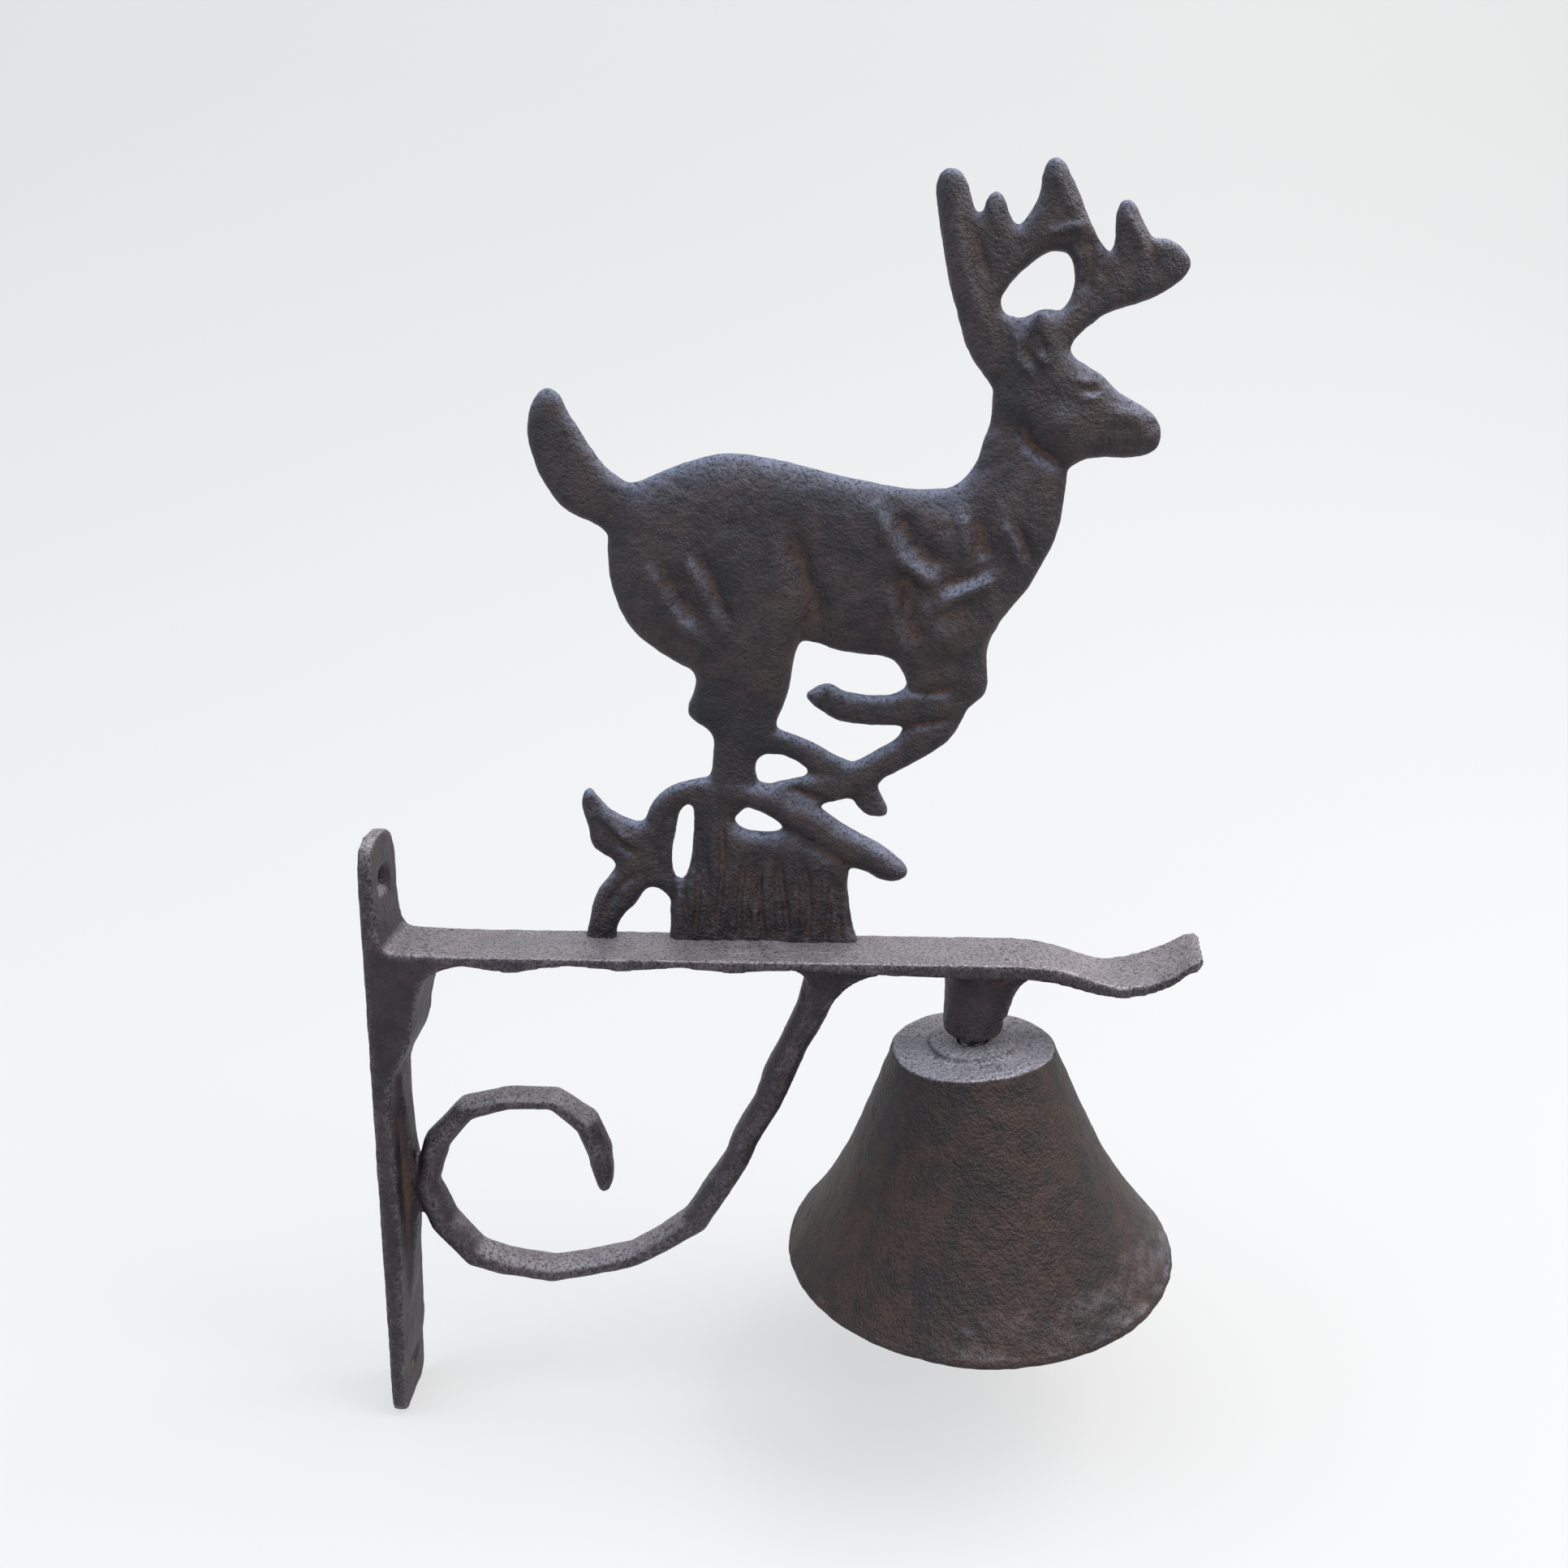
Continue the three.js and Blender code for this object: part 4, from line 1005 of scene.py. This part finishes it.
def cast_iron(name, dark, mid, rust, dust_and_sheen_colour, rust_share, dust_and_sheen_share, grain, steep=0.35):
    """Bare iron. The grain is in mm, and steep is how far up a face looks where the dust and painted sheen
    begin.
    """
    mat = bpy.data.materials.new(name)
    mat.use_nodes = True
    tree = mat.node_tree
    shader = tree.nodes["Principled BSDF"]
    place = make(tree, "ShaderNodeTexCoord", {}, {}, "Object")
    normal = make(tree, "ShaderNodeNewGeometry", {}, {}, "Normal")
    height = make(tree, "ShaderNodeSeparateXYZ", {}, {"Vector": normal}, "Z")
    hollow = make(tree, "ShaderNodeAttribute", {"attribute_name": "hollow"}, {}, "Fac")
    crest = make(tree, "ShaderNodeAttribute", {"attribute_name": "crest"}, {}, "Fac")
    sand = speckle(tree, place, 0.75, 2.0, 0.6)
    dust = speckle(tree, place, 0.30, 1.0, 0.5)
    blotch = speckle(tree, place, 5.0, 3.0, 0.6)
    cloud = speckle(tree, place, 22.0, 2.0, 0.5)
    up = band(height, steep, 0.95)

    colour = blend(band(blotch * 0.6 + cloud * 0.4, 0.38, 0.62), dark, mid)
    rusty = band(hollow * 1.7 + cloud * 0.55 + blotch * 0.35 - sand * 0.25,
                 0.62 - 0.3 * rust_share, 1.05 - 0.3 * rust_share)
    colour = blend(rusty * 0.75, colour, rust)
    pale = band(sand * 0.7 + dust * 0.5 + blotch * 0.3, 0.62, 1.0)
    # Faces that look up are blended towards the pale colour: partly dust, partly a painted sheen standing
    # in for light from above. Worn crests take the same colour.
    dust_sheen_and_wear = up * (pale * 0.55 + 0.45) * dust_and_sheen_share + band(crest, 0.10, 0.55) * 0.35 * pale
    colour = blend(dust_sheen_and_wear, colour, dust_and_sheen_colour)
    pit = band(sand * 0.75 + dust * 0.25, 0.30, 0.48)
    colour = blend(1.0 - pit, colour, rgb(dark[0] * 0.45, dark[1] * 0.45, dark[2] * 0.5))
    tree.links.new(colour.socket, shader.inputs["Base Color"])

    shine = 0.47 + blotch * 0.16 - up * 0.08 - band(crest, 0.1, 0.6) * 0.08 + rusty * 0.12
    tree.links.new(shine.socket, shader.inputs["Roughness"])
    metal = 0.22 + dust_sheen_and_wear * 0.25 - rusty * 0.18
    tree.links.new(metal.socket, shader.inputs["Metallic"])
    relief = sand * 1.0 + dust * 0.30 + speckle(tree, place, 2.2, 2.0, 0.5) * 0.9
    bump = make(tree, "ShaderNodeBump", {},
                {"Height": relief, "Strength": 1.0, "Distance": grain * MM}, "Normal")
    tree.links.new(bump.socket, shader.inputs["Normal"])
    shader.inputs["Specular IOR Level"].default_value = 0.5
    return mat


# Each material's fourth colour is the pale one: dust and a painted sheen on faces that look up, and wear
# on the crests.
bracket_iron = cast_iron("dark bracket iron", rgb(0.013, 0.0085, 0.012),
                         rgb(0.033, 0.020, 0.024), rgb(0.062, 0.030, 0.020),
                         rgb(0.30, 0.27, 0.29), 0.30, 1.0, 0.42)
stag_iron = cast_iron("dark stag iron", rgb(0.013, 0.0105, 0.014), rgb(0.040, 0.025, 0.025),
                      rgb(0.078, 0.040, 0.027), rgb(0.17, 0.19, 0.27), 0.60, 1.3, 0.60, 0.05)
bell_iron = cast_iron("brown bell iron", rgb(0.012, 0.007, 0.007), rgb(0.036, 0.016, 0.0115),
                      rgb(0.070, 0.031, 0.019), rgb(0.36, 0.35, 0.40), 0.85, 1.0, 0.75, 0.60)
clapper_iron = cast_iron("dark clapper iron", rgb(0.018, 0.015, 0.015),
                         rgb(0.035, 0.028, 0.026), rgb(0.06, 0.036, 0.025),
                         rgb(0.16, 0.15, 0.15), 0.5, 0.4, 0.30)

# %% [markdown]
# ## Dulled steel for the hardware
# The stud, washer, nut, link and rod are plated steel gone grey, with rust where it wore off.

# %% Steel
def dulled_steel(name):
    mat = bpy.data.materials.new(name)
    mat.use_nodes = True
    tree = mat.node_tree
    shader = tree.nodes["Principled BSDF"]
    place = make(tree, "ShaderNodeTexCoord", {}, {}, "Object")
    blotch = speckle(tree, place, 2.4, 3.0, 0.6)
    fine = speckle(tree, place, 0.5, 2.0, 0.6)
    rusty = band(blotch * 0.7 + fine * 0.3, 0.46, 0.60)
    colour = blend(rusty, rgb(0.20, 0.19, 0.18), rgb(0.085, 0.048, 0.03))
    tree.links.new(colour.socket, shader.inputs["Base Color"])
    tree.links.new((0.36 + rusty * 0.34).socket, shader.inputs["Roughness"])
    tree.links.new((0.90 - rusty * 0.65).socket, shader.inputs["Metallic"])
    bump = make(tree, "ShaderNodeBump", {},
                {"Height": fine + rusty * 0.6, "Strength": 1.0, "Distance": 0.08 * MM}, "Normal")
    tree.links.new(bump.socket, shader.inputs["Normal"])
    return mat


steel = dulled_steel("dulled steel")


def finish_with(obj, mat, smooth=True):
    obj.data.materials.clear()
    obj.data.materials.append(mat)
    for face in obj.data.polygons:
        face.use_smooth = smooth


finish_with(stag, stag_iron)
finish_with(bracket, bracket_iron)
finish_with(bell, bell_iron)
finish_with(ball, clapper_iron)
for piece, _, node in HARDWARE:
    finish_with(piece, steel, node != "hanger_nut")

# %% [markdown]
# ## Camera, floor and light
# The piece stands on a pale floor that curves up behind it. A warm light hangs over its free
# end, a weaker cool one stands to its left, and the sky brightens towards the top.

# %% Camera
def aim_camera():
    place = Vector((VIEW_FROM.x, VIEW_FROM.y, VIEW_FROM.z + ARM_TOP)) * MM
    yaw, pitch, roll = (math.radians(v) for v in (0.70, 14.10, 1.19))
    ahead = Vector((math.sin(yaw) * math.cos(pitch), math.cos(yaw) * math.cos(pitch),
                    -math.sin(pitch)))
    right = Vector((math.cos(yaw), -math.sin(yaw), 0))
    up = right.cross(ahead)
    right, up = (math.cos(roll) * right + math.sin(roll) * up,
                 math.cos(roll) * up - math.sin(roll) * right)
    camera = bpy.data.objects.new("camera", bpy.data.cameras.new("camera"))
    camera.data.sensor_width = 36
    camera.data.lens = 28.27
    camera.data.clip_start = 0.01
    turn = Matrix((right, up, -ahead)).transposed().to_4x4()
    camera.matrix_world = Matrix.Translation(place) @ turn
    bpy.context.scene.collection.objects.link(camera)
    bpy.context.scene.camera = camera


aim_camera()


# %% Floor and light
def sweep_floor():
    low = (PLATE_BOTTOM + ARM_TOP - 0.4) * MM
    bm = bmesh.new()
    profile = [(-1.6, 0), (0.25, 0)]
    for k in range(1, 9):
        angle = math.pi / 2 * k / 8
        profile.append((0.25 + 0.5 * math.sin(angle), 0.5 - 0.5 * math.cos(angle)))
    profile.append((0.75, 2.6))
    edge = [bm.verts.new((-2.2, y, low + z)) for y, z in profile]
    rows = [bm.edges.new(pair) for pair in zip(edge[:-1], edge[1:])]
    grown = bmesh.ops.extrude_edge_only(bm, edges=rows)
    moved = [g for g in grown["geom"] if isinstance(g, bmesh.types.BMVert)]
    bmesh.ops.translate(bm, verts=moved, vec=(4.6, 0, 0))
    floor = new_object("floor", bm)
    for face in floor.data.polygons:
        face.use_smooth = True
    pale = bpy.data.materials.new("pale floor")
    pale.use_nodes = True
    shader = pale.node_tree.nodes["Principled BSDF"]
    shader.inputs["Base Color"].default_value = (0.22, 0.22, 0.22, 1)
    shader.inputs["Roughness"].default_value = 1.0
    shader.inputs["Specular IOR Level"].default_value = 0.0
    shader.inputs["Emission Color"].default_value = (1, 1, 1, 1)
    shader.inputs["Emission Strength"].default_value = 0.535
    floor.data.materials.append(pale)


def soft_light(name, place, target, size, power, colour=(1, 1, 1)):
    data = bpy.data.lights.new(name, "AREA")
    data.shape = "RECTANGLE"
    data.size, data.size_y = size
    data.energy = power
    data.color = colour
    lamp = bpy.data.objects.new(name, data)
    lamp.location = place
    lamp.rotation_euler = (Vector(target) - Vector(place)).to_track_quat("-Z", "Y").to_euler()
    bpy.context.scene.collection.objects.link(lamp)


sweep_floor()
world = bpy.data.worlds.new("studio")
bpy.context.scene.world = world
world.use_nodes = True
sky = world.node_tree
ahead = make(sky, "ShaderNodeTexCoord", {}, {}, "Generated")
tall = make(sky, "ShaderNodeSeparateXYZ", {}, {"Vector": ahead}, "Z")
strength = 0.16 + 1.75 * band(tall, 0.12, 0.8)
background = sky.nodes["Background"]
background.inputs["Color"].default_value = (0.86, 0.93, 1.0, 1)
sky.links.new(strength.socket, background.inputs["Strength"])
soft_light("overhead", (0.70, -0.10, 0.75), (0.10, 0.0, 0.05), (0.7, 0.7), 9, (1.0, 0.93, 0.87))
soft_light("sky side", (-0.70, -0.25, 0.60), (0.10, 0.0, 0.12), (0.5, 0.5), 3.5, (0.66, 0.80, 1.0))
bpy.context.scene.view_settings.view_transform = "Standard"
